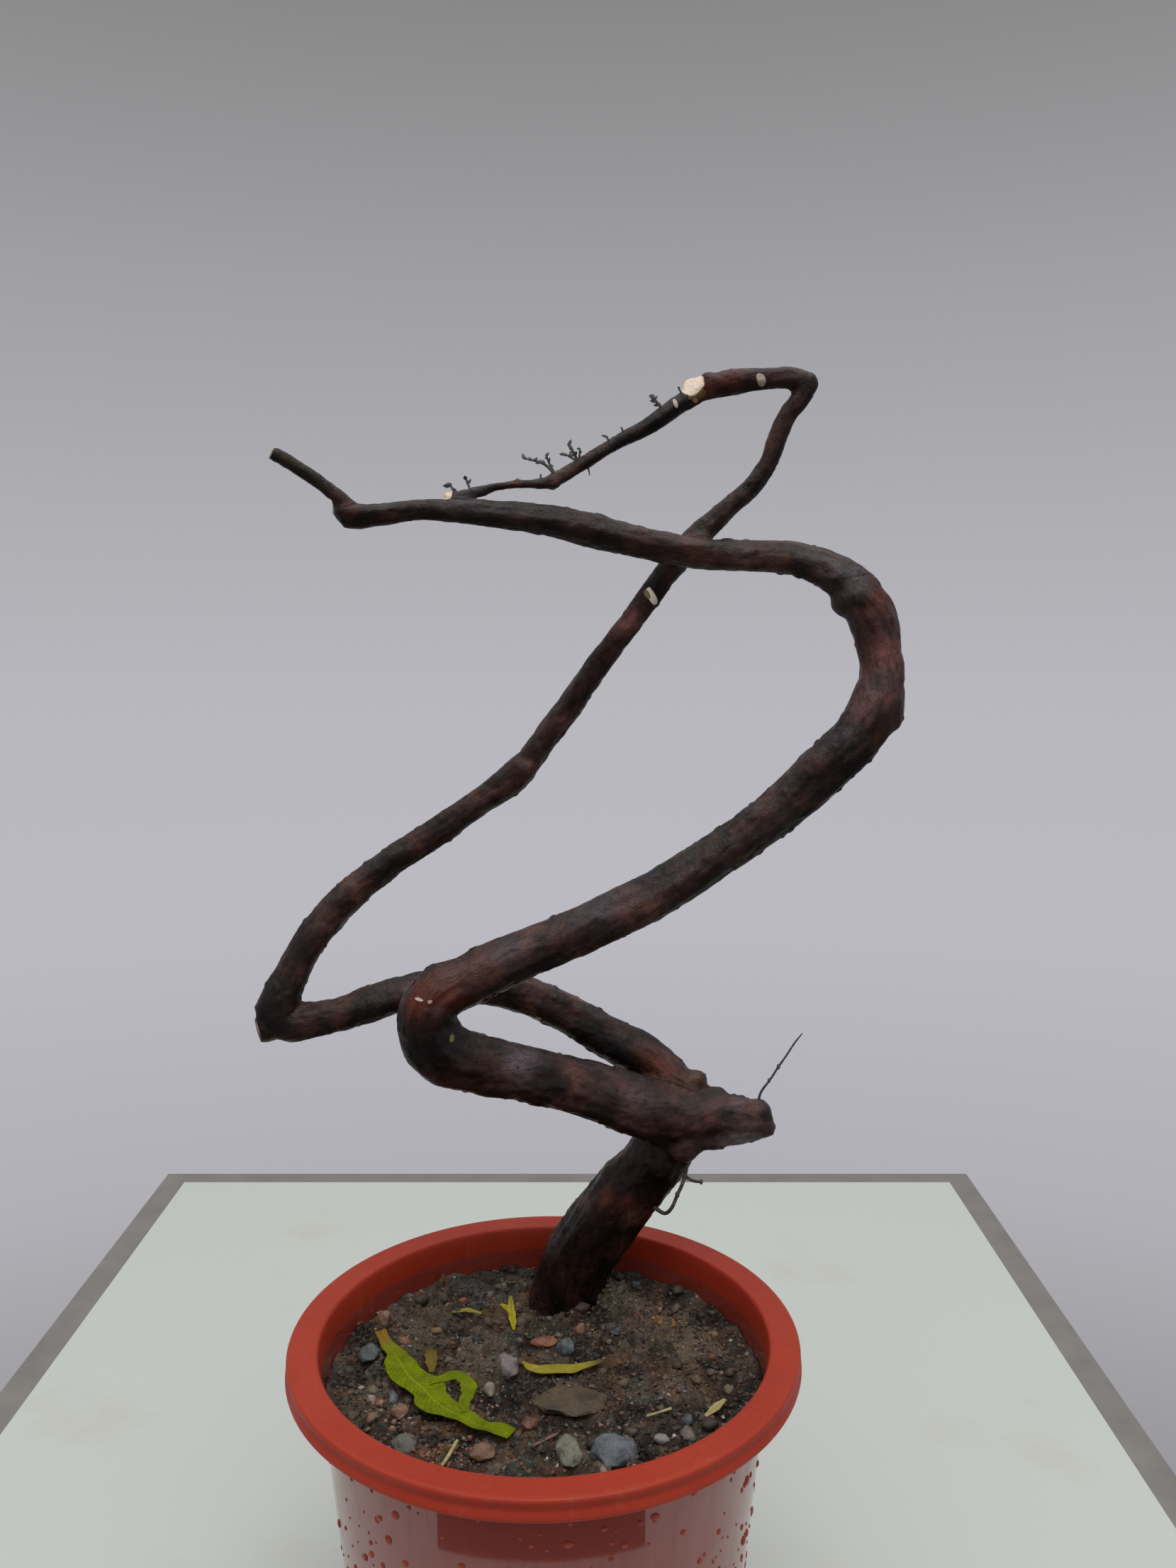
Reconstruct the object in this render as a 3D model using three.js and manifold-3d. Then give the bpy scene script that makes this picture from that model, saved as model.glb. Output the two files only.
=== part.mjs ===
// A wall cotoneaster trained as a bonsai, bare but for its first buds, in a round plastic pot.
// Millimetres, +Z up. The origin is the centre of the pot's foot, on the surface that it stands on.
// +X is to the right and +Y away, seen from the side that shows the tree best.

import * as THREE from 'three';
import { mergeVertices } from 'three/addons/utils/BufferGeometryUtils.js';
import Module from 'manifold-3d';

const wasm = await Module();
wasm.setup();

// Pot
const POT_HEIGHT = 160;
const RIM_RADIUS = 95;
const RIM_FLAT = 12; // width of the flat top of the rim
const RIM_BAND = 8; // height of the rim's outer band
const NECK_RADIUS = 84; // outside of the wall at the rim
const WALL_SLOPE = 0.1; // the wall draws in by this much for each millimetre down
const WALL = 2;
const FLOOR_TOP = 6;
const RECESS = 3; // the underside between the middle pad and the foot ring
const PAD_RADIUS = 22;
const FOOT_RING = 58;
const DRAIN_RADIUS = 4;
const DRAIN_CIRCLE = 40;
const DRAINS = 5;
const POT_SIDES = 44;

// Soil
const SOIL_TOP = 140;
const GAP = 0.3; // between solids that touch
const SOIL_SIDES = 48;
const SOIL_RINGS = 13;

// Blades of the leaves
const BLADE = 0.8;

// Colours
const BARK = 0x4b3029;
const POT_RED = 0x9a3d2f;
const SOIL_BROWN = 0x574c45;
const LEAF_GREEN = 0x86b81f;
const YELLOW = 0xc9c24a;
const STRAW = 0xc8bd8a;
const OLIVE = 0x8c8340;

// Same number in 0..1 for the same whole-number cell, used by the soil, the bark and the stones.
function hash(i, j, k = 0) {
  const s = Math.sin(i * 127.1 + j * 311.7 + k * 74.7) * 43758.5453;
  return s - Math.floor(s);
}

function smooth(t) {
  const c = Math.min(1, Math.max(0, t));
  return c * c * (3 - 2 * c);
}

function noise(x, y, k = 0) {
  const i = Math.floor(x);
  const j = Math.floor(y);
  const u = smooth(x - i);
  const v = smooth(y - j);
  const low = hash(i, j, k) * (1 - u) + hash(i + 1, j, k) * u;
  const high = hash(i, j + 1, k) * (1 - u) + hash(i + 1, j + 1, k) * u;
  return (low * (1 - v) + high * v) * 2 - 1;
}

function closed(geometry) {
  geometry.deleteAttribute('normal');
  geometry.deleteAttribute('uv');
  return mergeVertices(geometry, 1e-4);
}

function solid(geometry) {
  const shell = closed(geometry);
  const mesh = new wasm.Mesh({
    numProp: 3,
    vertProperties: new Float32Array(shell.attributes.position.array),
    triVerts: new Uint32Array(shell.index.array),
  });
  return new wasm.Manifold(mesh);
}

function geometryOf(manifold) {
  const mesh = manifold.getMesh();
  const geometry = new THREE.BufferGeometry();
  geometry.setAttribute('position', new THREE.BufferAttribute(mesh.vertProperties, 3));
  geometry.setIndex(new THREE.BufferAttribute(mesh.triVerts, 1));
  return geometry;
}

function finish(color, roughness = 0.8) {
  return new THREE.MeshStandardMaterial({ color, roughness, metalness: 0 });
}

function named(name, geometry, material) {
  const mesh = new THREE.Mesh(geometry, material);
  mesh.name = name;
  return mesh;
}

// A limb: a cylinder bent along a route of [x, y, z, radius], with the given relief on its surface.
// relief(along, angle) gives the share by which the radius grows, along in millimetres from the root.
function limb(route, sides, step, relief = () => 0) {
  const centres = route.map(([x, y, z]) => new THREE.Vector3(x, y, z));
  const curve = new THREE.CatmullRomCurve3(centres, false, 'centripetal');
  curve.arcLengthDivisions = 1200;
  const length = curve.getLength();
  const rings = Math.max(2, Math.round(length / step));
  const frames = curve.computeFrenetFrames(rings, false);
  const geometry = new THREE.CylinderGeometry(1, 1, 1, sides, rings, false);
  const position = geometry.attributes.position;
  const point = new THREE.Vector3();
  for (let i = 0; i < position.count; i++) {
    const ring = Math.round((0.5 - position.getY(i)) * rings);
    const share = ring / rings;
    const station = curve.getUtoTmapping(share) * (route.length - 1);
    const first = Math.min(route.length - 2, Math.floor(station));
    const blend = smooth(station - first);
    const radius = route[first][3] * (1 - blend) + route[first + 1][3] * blend;
    const angle = Math.atan2(position.getZ(i), position.getX(i));
    const reach = Math.hypot(position.getX(i), position.getZ(i));
    const out = reach * radius * (1 + relief(share * length, angle));
    point.copy(curve.getPointAt(share));
    point.addScaledVector(frames.normals[ring], Math.cos(angle) * out);
    point.addScaledVector(frames.binormals[ring], Math.sin(angle) * out);
    position.setXYZ(i, point.x, point.y, point.z);
  }
  return geometry;
}

// A lump, knot or leaflet: a squashed ball at a place, its long side turned along a direction.
function lump([x, y, z], size, ball, direction = [0, 0, 1]) {
  const geometry = ball.clone();
  geometry.scale(...size);
  const towards = new THREE.Vector3(...direction).normalize();
  geometry.applyQuaternion(new THREE.Quaternion().setFromUnitVectors(new THREE.Vector3(0, 0, 1), towards));
  geometry.translate(x, y, z);
  return geometry;
}

const LARGE_BALL = new THREE.IcosahedronGeometry(1, 1);
const SMALL_BALL = new THREE.OctahedronGeometry(1, 1);
const LEAFLET = new THREE.OctahedronGeometry(1, 0);
const LARGE_KNOT = 7; // knots this high or more are rounder

// Bark: slow twisted ridges along the limb and uneven swellings.
function bark(along, angle) {
  const ridges = 0.035 * Math.sin(3 * angle + along / 17) + 0.02 * Math.sin(5 * angle - along / 23);
  return ridges + 0.05 * noise(along / 11, 3 * Math.cos(angle), 1) + 0.03 * noise(along / 26, 7.5, 2);
}

function trunkBark(along, angle) {
  const foot = smooth((along - 52) / 12);
  return foot * bark(along, angle);
}

// Routes, each point [x, y, z, radius]. The trunk stands plain in the soil up to its fourth point.
const TRUNK = [
  [-2, 54, 102, 14.5], [0, 56, 114, 14.7], [3, 59, 130, 15], [7, 60, 142, 15.2], [12, 58.5, 158, 14.7],
  [22, 55, 175, 14.4], [33, 52, 191, 13.8], [43, 49, 205, 12.6], [51, 46, 217, 11.4], [56, 44, 225, 9],
];
const TRUNK_HOLE = [[-2.2, 53.9, 101.4, 15.5], ...TRUNK.slice(1, 6).map(([x, y, z, r]) => [x, y, z, r + 1])];

const FRONT_BRANCH = [
  [87, 41, 225, 5.2], [84, 41, 225, 7.6], [77, 42, 225.5, 10], [66, 43, 225, 11.4], [56, 42, 225, 12],
  [43, 38, 230, 12], [31, 32, 235.5, 12], [19, 26, 242.5, 11.2], [7, 20, 248.6, 10.6], [-7, 12, 255.2, 10.6],
  [-22, 5, 261, 10.6], [-33, 0, 265.5, 11], [-40, -3, 273, 11.4], [-41.5, -5, 283, 10.6],
  [-37, -4, 290.5, 9.8], [-27, -2, 294.5, 9.3], [-13, 1, 301, 9.1], [3, 3, 307.5, 9], [21, 5, 315, 8.8],
  [43, 7, 325.5, 8.9], [64, 9, 339, 8.4], [83, 9, 353, 8.6], [100, 8, 369, 9.3], [113.5, 6, 383, 9],
  [119, 5, 393, 9.4], [120.5, 4, 403, 8], [119.5, 4, 412, 7.9], [117, 4, 423, 8.8], [111.5, 4, 432, 8.2],
  [102.5, 5, 439.5, 7.2], [91, 7, 444, 6.3], [80, 9, 445.5, 5.8], [68, 11, 446, 5.7], [55, 12, 447, 5.9],
  [40, 12, 450, 5.7], [30, 12, 452, 5.8], [18, 12, 455, 6.2], [4, 11, 458, 5.9], [-8, 10, 459.5, 5.3],
  [-19, 9, 460.5, 4.9], [-31, 8, 461.5, 4.1], [-45, 7, 461.5, 3.8], [-56, 6, 460, 4.1],
  [-65, 4, 459.5, 4.7], [-69.5, 4, 459.5, 4.3],
];

const BACK_BRANCH = [
  [57, 47, 229, 8], [48, 51, 240, 9.4], [38, 52, 248, 9.4], [29, 51, 253, 8.8], [20, 50, 258.5, 8.3],
  [5, 47, 268.5, 7.9], [-4, 45, 273.5, 7.8], [-20, 42, 280, 7.6], [-39, 38, 281, 7.3], [-60, 35, 277.5, 7.2],
  [-69, 34, 275, 7.3], [-78, 33, 272, 6.8], [-88, 32, 270, 6.8], [-99, 31, 268.5, 7.8], [-104.5, 31, 272, 8],
  [-102.5, 31, 279, 7.4], [-98, 32, 288, 6.6], [-94, 33, 296, 6.4], [-90, 34, 302, 6.5], [-82, 36, 312, 6.6],
  [-69, 38, 324, 6.2], [-57, 39, 333, 6], [-46, 40, 340, 6], [-27, 40, 353, 5.6], [-13, 39, 363, 6],
  [-8, 39, 368, 5.2], [-3, 38, 375, 5.1], [9, 36, 391, 5.2], [15, 34, 400, 4.9], [26, 29, 415, 4.6],
  [35, 25, 427, 4.5], [43, 22, 438, 4.6], [51, 20, 448, 5.2], [57, 20, 454.5, 4.6], [63, 20, 460, 4.1],
  [67, 20, 464, 3.7], [75, 20, 471, 3.6], [81, 20, 480, 3.4], [85, 20, 491, 3.6], [88, 20, 497, 3.5],
  [92, 20, 502, 3.7], [94, 20, 506.5, 3.9], [90, 20, 509, 4], [82, 20, 509, 3.8], [71, 19, 508, 4.3],
  [64, 19, 507, 4.6], [58, 19, 505, 4.2], [55, 18, 503, 3.2], [49, 18, 500, 3.6], [43, 17, 495.5, 3.5],
  [36, 17, 491, 3.1], [30, 17, 488, 2.8], [21, 17, 483, 2.5], [13, 17, 478, 2.6], [6, 16, 474, 2.8],
  [0, 15, 471.6, 2.2], [-6, 14, 471.4, 1.7], [-13, 13, 470.8, 1.5], [-17.5, 12.6, 470, 1.7],
  [-22, 12, 468.7, 2.2], [-32.5, 12, 466.6, 2],
];

const SIDE_SHOOT = [
  [-63, 4, 459, 2.6], [-69, 3, 464, 3.2], [-76, 1, 470, 2.9], [-81, -1, 473.5, 2.9], [-88, -3, 478, 2.9],
  [-92, -4, 480, 2.9],
];

const DRY_TWIG = [
  [84, 42, 230, 1.8], [85, 42, 236, 1.4], [89, 42, 242, 1], [92, 42, 247, 0.9], [95, 42, 251.5, 1],
  [98, 41, 257, 0.8], [101, 41, 261, 0.7],
];
const ROOTLET = [
  [56, 42, 212, 1.4], [55, 37, 205, 1], [53.5, 35, 201, 0.9], [51.5, 34, 197, 0.9], [49.5, 34, 192, 0.9],
  [47, 36, 188.5, 0.9], [43, 41, 188.5, 1],
];
const SHORT_ROOTLET = [[54, 37, 204, 0.9], [58, 35, 202.5, 0.8], [61, 34, 202.5, 0.7]];

// Knots, collars and cut scars, each [x, y, z, size].
const KNOTS = [
  [83.5, 41, 229, [5.8, 6, 5.4]], [85.4, 41, 223.6, [5.5, 6, 5.4]], [60, 50, 238.5, [5.5, 5, 5]],
  [68, 48, 233, [5, 5, 4]], [54, 36, 217, [8, 6, 6.5]], [64, 38, 218.6, [9, 6, 4.4]],
  [50, 42, 223, [12, 10, 10]], [49, 47, 234, [9, 9, 9]],
  [-46, -5, 280, [6.5, 7, 7.5]], [124.5, 5, 391, [4, 6, 8]], [106, 4, 430.5, [6, 7, 4.5]],
  [116, 4, 431, [5, 5, 6]], [57, 15, 448, [7, 6, 5.5]], [27, 12, 456, [4.5, 4, 3]],
  [-9, 38, 367, [6, 6, 5.5]], [94.5, 20, 507, [4, 4, 4]], [59, 18, 507, [4, 4, 4]],
  [53, 17.5, 506, [3.6, 3.5, 3]],
  [3.5, 15, 471.8, [3, 2.8, 2.8]], [-9.1, 13.3, 472.4, [1.2, 1.2, 1.6]], [-108.5, 30, 266.5, [6, 6, 5.5]],
  [-68.5, 4, 461, [4.2, 4.5, 4.5]],
];

// Sprouts on the thin tip: tiny stalks with folded leaflets at their ends.
const SPROUTS = [
  { root: [4.3, 15.5, 475], tip: [-6.7, 13, 480.5], leaves: 5 },
  { root: [4, 15.5, 475.5], tip: [1.3, 14, 481.3], leaves: 2 },
  { root: [12.9, 16.5, 479], tip: [9.4, 15, 485.6], leaves: 4 },
  { root: [12.5, 16.5, 479], tip: [7.6, 15, 482], leaves: 3 },
  { root: [24.5, 17, 486.5], tip: [22.2, 16.5, 488.6], leaves: 1 },
  { root: [43, 17, 496], tip: [38, 15, 502], leaves: 3 },
  { root: [-25.5, 12.5, 469], tip: [-27.3, 12.5, 473.7], leaves: 1 },
  { root: [-30.1, 12, 467.5], tip: [-34.2, 11.5, 472.1], leaves: 2 },
];

function sproutParts({ root, tip, leaves }, seed) {
  const foot = new THREE.Vector3(...root);
  const end = new THREE.Vector3(...tip);
  const parts = [limb([[...root, 1.1], [...tip, 0.7]], 5, 4)];
  for (let i = 0; i < leaves; i++) {
    const place = foot.clone().lerp(end, 1 - 0.55 * (i / Math.max(1, leaves)));
    const turn = 2.4 * i + seed;
    const lean = [Math.cos(turn), 0.8 * Math.sin(turn), 0.7];
    const reach = new THREE.Vector3(...lean).normalize();
    place.addScaledVector(reach, 1.1);
    parts.push(lump(place.toArray(), [0.8, 1.1, 2], LEAFLET, lean));
  }
  return parts;
}

function tree() {
  const parts = [
    limb(TRUNK, 14, 8, trunkBark),
    limb(FRONT_BRANCH, 12, 8, bark),
    limb(BACK_BRANCH, 9, 6.5, bark),
    limb(SIDE_SHOOT, 7, 6),
    limb(DRY_TWIG, 5, 4),
    limb(ROOTLET, 5, 3),
    limb(SHORT_ROOTLET, 5, 3),
    ...KNOTS.map(([x, y, z, size]) => lump([x, y, z], size, size[2] < LARGE_KNOT ? SMALL_BALL : LARGE_BALL)),
    ...SPROUTS.flatMap(sproutParts),
  ];
  return parts.map(solid).reduce((whole, part) => whole.add(part));
}

// Outline of half the pot from the middle of its underside, out, up, over the rim and down inside.
function potProfile() {
  const wallAt = (z) => NECK_RADIUS - WALL_SLOPE * (POT_HEIGHT - z);
  const band = POT_HEIGHT - RIM_BAND;
  const rimInner = RIM_RADIUS - RIM_FLAT;
  return [
    [0, 0], [PAD_RADIUS - 2, 0], [PAD_RADIUS, RECESS], [FOOT_RING - 2, RECESS], [FOOT_RING, 0],
    [wallAt(0) - 1.5, 0], [wallAt(2), 2], [wallAt(50), 50], [wallAt(100), 100], [wallAt(band - 2), band - 2],
    [wallAt(band) + 1.5, band], [RIM_RADIUS - 2, band], [RIM_RADIUS - 0.4, band + 0.6],
    [RIM_RADIUS - 0.2, band + 1.8], [RIM_RADIUS - 1, band + 3.4], [RIM_RADIUS - 0.7, band + 5.4],
    [RIM_RADIUS - 0.4, band + 6.8], [RIM_RADIUS - 1.4, band + 7.7], [RIM_RADIUS - 2.6, POT_HEIGHT],
    [rimInner + 1, POT_HEIGHT], [rimInner, POT_HEIGHT - 0.5], [wallAt(band) - WALL, band - 2],
    [wallAt(100) - WALL, 100], [wallAt(50) - WALL, 50], [wallAt(FLOOR_TOP + 2) - WALL, FLOOR_TOP + 2],
    [wallAt(FLOOR_TOP) - WALL - 2, FLOOR_TOP], [0, FLOOR_TOP],
  ].map(([r, z]) => new THREE.Vector2(r, z));
}

function pot() {
  const shell = new THREE.LatheGeometry(potProfile(), POT_SIDES);
  shell.rotateX(Math.PI / 2);
  let body = solid(shell);
  for (let i = 0; i < DRAINS; i++) {
    const drain = new THREE.CylinderGeometry(DRAIN_RADIUS, DRAIN_RADIUS, 3 * FLOOR_TOP, 12);
    drain.rotateX(Math.PI / 2);
    drain.translate(DRAIN_CIRCLE, 0, 0);
    drain.rotateZ((2 * Math.PI * i) / DRAINS + 0.3);
    body = body.subtract(solid(drain));
  }
  return geometryOf(body);
}

// Slow mounds of the soil, each [x, y, height, reach].
const MOUNDS = [
  [44, 16, 4, 20], [62, 44, 3, 16], [-32, 52, 2.5, 20], [24, 34, 2, 12], [-62, 22, 1.5, 14],
  [10, -50, -1, 24], [-20, -8, -1, 18], [27, 56, 5, 10],
];

function soilHeight(x, y) {
  let height = SOIL_TOP;
  for (const [mx, my, rise, reach] of MOUNDS) {
    height += rise * Math.exp(-((x - mx) ** 2 + (y - my) ** 2) / (reach * reach));
  }
  height += 0.9 * noise(x / 14 + 3, y / 14 + 9, 3);
  height += 1.5 * noise(x / 5.3, y / 5.3, 4);
  return height;
}

function soil() {
  const inner = (z) => NECK_RADIUS - WALL_SLOPE * (POT_HEIGHT - z) - WALL - GAP;
  const profile = [
    new THREE.Vector2(0, FLOOR_TOP + GAP),
    new THREE.Vector2(inner(FLOOR_TOP) - 2.2, FLOOR_TOP + GAP),
    new THREE.Vector2(inner(FLOOR_TOP + 2), FLOOR_TOP + 2 + GAP),
    new THREE.Vector2(inner(50) - 0.1, 50),
    new THREE.Vector2(inner(100) - 0.1, 100),
    new THREE.Vector2(inner(SOIL_TOP - 4) - 0.1, SOIL_TOP - 4),
  ];
  const edge = inner(SOIL_TOP - 4) - 0.1;
  for (let ring = 0; ring <= SOIL_RINGS; ring++) {
    profile.push(new THREE.Vector2(edge * Math.sqrt(1 - ring / SOIL_RINGS), SOIL_TOP));
  }
  const body = new THREE.LatheGeometry(profile, SOIL_SIDES);
  body.rotateX(Math.PI / 2);
  const position = body.attributes.position;
  for (let i = 0; i < position.count; i++) {
    const x = position.getX(i);
    const y = position.getY(i);
    if (position.getZ(i) > SOIL_TOP - 1) position.setZ(i, soilHeight(x, y));
  }
  return solid(body).subtract(solid(limb(TRUNK_HOLE, 20, 8)));
}

// A leaf blade: a thin box laid along a route of [x, y, z, half width, cup]. The cup lifts both edges.
function blade(route, lengthSteps, widthSteps) {
  const centres = route.map(([x, y, z]) => new THREE.Vector3(x, y, z));
  const curve = new THREE.CatmullRomCurve3(centres, false, 'centripetal');
  const up = new THREE.Vector3(0, 0, 1);
  const geometry = new THREE.BoxGeometry(1, 1, 1, lengthSteps, widthSteps, 1);
  const position = geometry.attributes.position;
  for (let i = 0; i < position.count; i++) {
    const share = Math.min(1, Math.max(0, position.getX(i) + 0.5));
    const station = share * (route.length - 1);
    const first = Math.min(route.length - 2, Math.floor(station));
    const blend = station - first;
    const half = route[first][3] * (1 - blend) + route[first + 1][3] * blend;
    const cup = route[first][4] * (1 - blend) + route[first + 1][4] * blend;
    const across = 2 * position.getY(i);
    const tangent = curve.getTangent(share);
    const side = new THREE.Vector3().crossVectors(up, tangent).normalize();
    const point = curve.getPoint(share).addScaledVector(side, across * half);
    point.z += cup * across * across + BLADE * position.getZ(i);
    position.setXYZ(i, point.x, point.y, point.z);
  }
  return geometry;
}

// A stone or chip: a ball with its bumps from a seed, flattened underneath so that it lies still.
function stone(x, y, size, turn, seed) {
  const geometry = closed(new THREE.IcosahedronGeometry(1, 1));
  const position = geometry.attributes.position;
  for (let i = 0; i < position.count; i++) {
    const bump = 1 + 0.34 * (hash(i, seed, 5) - 0.5);
    const low = Math.max(-0.55, position.getZ(i) * bump);
    position.setXYZ(i, position.getX(i) * bump, position.getY(i) * bump, low);
  }
  geometry.scale(size[0] / 2, size[1] / 2, size[2] / 1.55);
  geometry.rotateZ(turn);
  geometry.translate(x, y, SOIL_TOP + 12);
  return geometry;
}

// Lowers a piece onto the ground until it lies on its highest point under the piece.
function settle(geometry, ground) {
  const piece = new THREE.Mesh(geometry, new THREE.MeshBasicMaterial({ side: THREE.DoubleSide }));
  const caster = new THREE.Raycaster();
  const down = new THREE.Vector3(0, 0, -1);
  const upward = new THREE.Vector3(0, 0, 1);
  const points = geometry.attributes.position;
  let room = Infinity;
  for (let i = 0; i < points.count; i++) {
    const from = new THREE.Vector3().fromBufferAttribute(points, i);
    caster.set(from, down);
    const hit = caster.intersectObject(ground)[0];
    if (hit) room = Math.min(room, hit.distance);
  }
  geometry.computeBoundingBox();
  const { min, max } = geometry.boundingBox;
  const bumps = ground.geometry.attributes.position;
  for (let i = 0; i < bumps.count; i++) {
    const from = new THREE.Vector3().fromBufferAttribute(bumps, i);
    const under = from.x > min.x && from.x < max.x && from.y > min.y && from.y < max.y;
    if (!under || from.z < SOIL_TOP - 5) continue;
    caster.set(from, upward);
    const hit = caster.intersectObject(piece)[0];
    if (hit) room = Math.min(room, hit.distance);
  }
  geometry.translate(0, 0, GAP - room);
  return geometry;
}

const soilBody = geometryOf(soil());
const soilGround = new THREE.Mesh(soilBody, new THREE.MeshBasicMaterial({ side: THREE.DoubleSide }));

function join(geometries) {
  return closed(geometryOf(geometries.map(solid).reduce((whole, part) => whole.add(part))));
}

// The long green leaf lies torn across the left of the soil.
const GREEN_LEAF = [
  [-66.4, 25.6, 159, 2.6, 0.3], [-63, 19.3, 158, 2.7, 0.5], [-59.8, 14.4, 157.3, 3.3, 0.7],
  [-55.8, 7.2, 157, 5.3, 1], [-50.2, -3.2, 157, 6.6, 1.2], [-42.9, -12.2, 157, 6.5, 1.2],
  [-38.7, -18.5, 157, 6.2, 1.2], [-33, -24.2, 157, 5.2, 1], [-27.4, -27.9, 157, 4.4, 0.8],
  [-23, -31.6, 157, 3.9, 0.6],
  [-18.5, -33.6, 157, 2.8, 0.5], [-14.8, -34.6, 156.8, 3.4, 0.4], [-10.6, -36.8, 156.6, 3.2, 0.3],
];
const GREEN_LEAF_TEAR = [
  [-42.5, -6.5, 157.6, 1.8, 0], [-37.5, -5.9, 158.4, 2.4, 0], [-33.8, -4.5, 159, 2.7, 0],
  [-30.2, -6.3, 159, 2.7, 0], [-27.6, -11.2, 158.6, 2.6, 0], [-27.9, -16, 158.2, 2.5, 0],
  [-28.4, -20.3, 157.8, 2, 0], [-27.5, -25, 157.6, 1.4, 0],
];
const YELLOW_LEAF = [
  [-8.9, 6.9, 157.6, 0.7, 0.2], [-4.7, 3.1, 157, 2.1, 0.5], [2.8, 2.4, 157, 3, 0.7],
  [9.5, 2.8, 157, 2.8, 0.6], [16.2, 4.8, 157.5, 1.8, 0.4], [22.1, 7.2, 158, 0.8, 0.2],
];
const YELLOW_SPRIG = [
  [-15.6, 44.4, 164, 0.7, 0], [-15.2, 40.9, 160.5, 1.5, 0.2], [-14.2, 36.4, 157.5, 1.5, 0.2],
  [-13.6, 32.4, 156, 0.5, 0],
];
const SPRIG_SIDE = [[-15.1, 39.4, 159.3, 0.8, 0], [-17.8, 41.4, 161, 1.2, 0.1], [-19.6, 42.4, 161.5, 0.5, 0]];
const YELLOW_SCRAP = [
  [-39.5, 42.5, 157, 0.8, 0.1], [-33.5, 42.8, 157.6, 1.4, 0.3], [-27.5, 41.6, 157, 0.8, 0.1],
];
const PALE_LEAF = [[66, -16, 158, 0.8, 0.1], [62, -20, 157, 1.7, 0.4], [58, -24, 156.6, 0.8, 0.1]];
const OLIVE_LEAF = [
  [-45.8, 17.5, 157.6, 1.4, 0.1], [-44.4, 12.5, 157.6, 2.4, 0.6], [-43.6, 7.5, 157.2, 2.2, 0.6],
  [-43, 2.5, 157, 1, 0.1],
];
const STRAW_ROUTE = [[-29, -40.5, 157, 0.8], [-30.8, -47, 156.6, 1], [-32.8, -54, 157, 0.8]];
const TWIGLET_ROUTE = [[46, -21, 157, 0.9], [42, -23, 157, 0.8], [37, -25.5, 157, 0.9]];

const LEAVES = [
  ['green_leaf', join([blade(GREEN_LEAF, 16, 4), blade(GREEN_LEAF_TEAR, 10, 1)]), LEAF_GREEN],
  ['yellow_leaf', blade(YELLOW_LEAF, 10, 2), YELLOW],
  ['yellow_sprig', join([blade(YELLOW_SPRIG, 6, 2), blade(SPRIG_SIDE, 3, 2)]), YELLOW],
  ['yellow_scrap', blade(YELLOW_SCRAP, 5, 2), YELLOW],
  ['pale_leaf', blade(PALE_LEAF, 5, 2), STRAW],
  ['olive_leaf', blade(OLIVE_LEAF, 6, 2), OLIVE],
  ['straw', limb(STRAW_ROUTE, 6, 4), STRAW],
  ['twiglet', limb(TWIGLET_ROUTE, 6, 4), STRAW],
];

// Loose stones: name, place, size, turn and colour.
const STONES = [
  ['stone_red_chip', -1.4, 21.6, [11.5, 7, 2.8], 0.1, 0xa5644a],
  ['stone_blue_pebble', 7.3, 14.8, [7, 7, 5], 0.4, 0x6c7a78],
  ['stone_grey_chip', -14.6, 5, [8.5, 14, 5.5], 0.35, 0x817a7c],
  ['stone_pale', -20.7, -6, [4.6, 8, 4], 0.25, 0xa79c88],
  ['stone_flat_brown', 10.6, -18.5, [29, 17, 4.6], 0.05, 0x74665a],
  ['stone_green', 9.2, -45.5, [9.6, 16, 6], 0.2, 0x7f8072],
  ['stone_blue_grey', 24.9, -46.5, [17.6, 16, 8], 0.1, 0x6f747c],
  ['stone_left_grey', -47, -42.3, [10.5, 9, 4.4], -0.7, 0x757a7d],
  ['stone_orange_front', -20, -46.8, [11, 8, 4.4], 0.3, 0x8d6a52],
  ['stone_orange_left', -50.9, -23, [6.4, 6, 3.6], 0.5, 0x9b765f],
  ['stone_orange_mid', -4.8, -31, [6, 6, 3.8], 0.8, 0x97705a],
  ['stone_tan_tip', -65.8, 34.5, [7, 7.5, 6], 0.3, 0x9a7f6c],
  ['stone_left_dark', -68.2, 11.5, [8.6, 9, 5], 0.6, 0x5c605e],
  ['stone_orange_right', 47, 28.5, [9, 7, 4], 0.2, 0x9c6c3f],
  ['stone_tan_trunk', 12.9, 26.5, [4.8, 5, 4], 0.4, 0xa07860],
];

const bonsai = new THREE.Group();
bonsai.add(named('pot', pot(), finish(POT_RED, 0.35)));
bonsai.add(named('soil', soilBody, finish(SOIL_BROWN, 0.95)));
bonsai.add(named('tree', geometryOf(tree()), finish(BARK, 0.7)));
for (const [name, geometry, color] of LEAVES) {
  bonsai.add(named(name, settle(closed(geometry), soilGround), finish(color, 0.6)));
}
STONES.forEach(([name, x, y, size, turn, color], index) => {
  bonsai.add(named(name, settle(stone(x, y, size, turn, index), soilGround), finish(color, 0.9)));
});

export default bonsai;
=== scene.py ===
"""Looks of a wall cotoneaster bonsai in a round plastic pot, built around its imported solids.

Routes, places and sizes are in millimetres, as in the part's source, and every finished mesh is in metres.
+X is to the right, +Y away and +Z up, seen from the side that shows the zigzag of the branches.
"""

import math
import random
from functools import partial

import bmesh
import bpy
import numpy as np
from mathutils import Matrix, Vector


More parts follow.
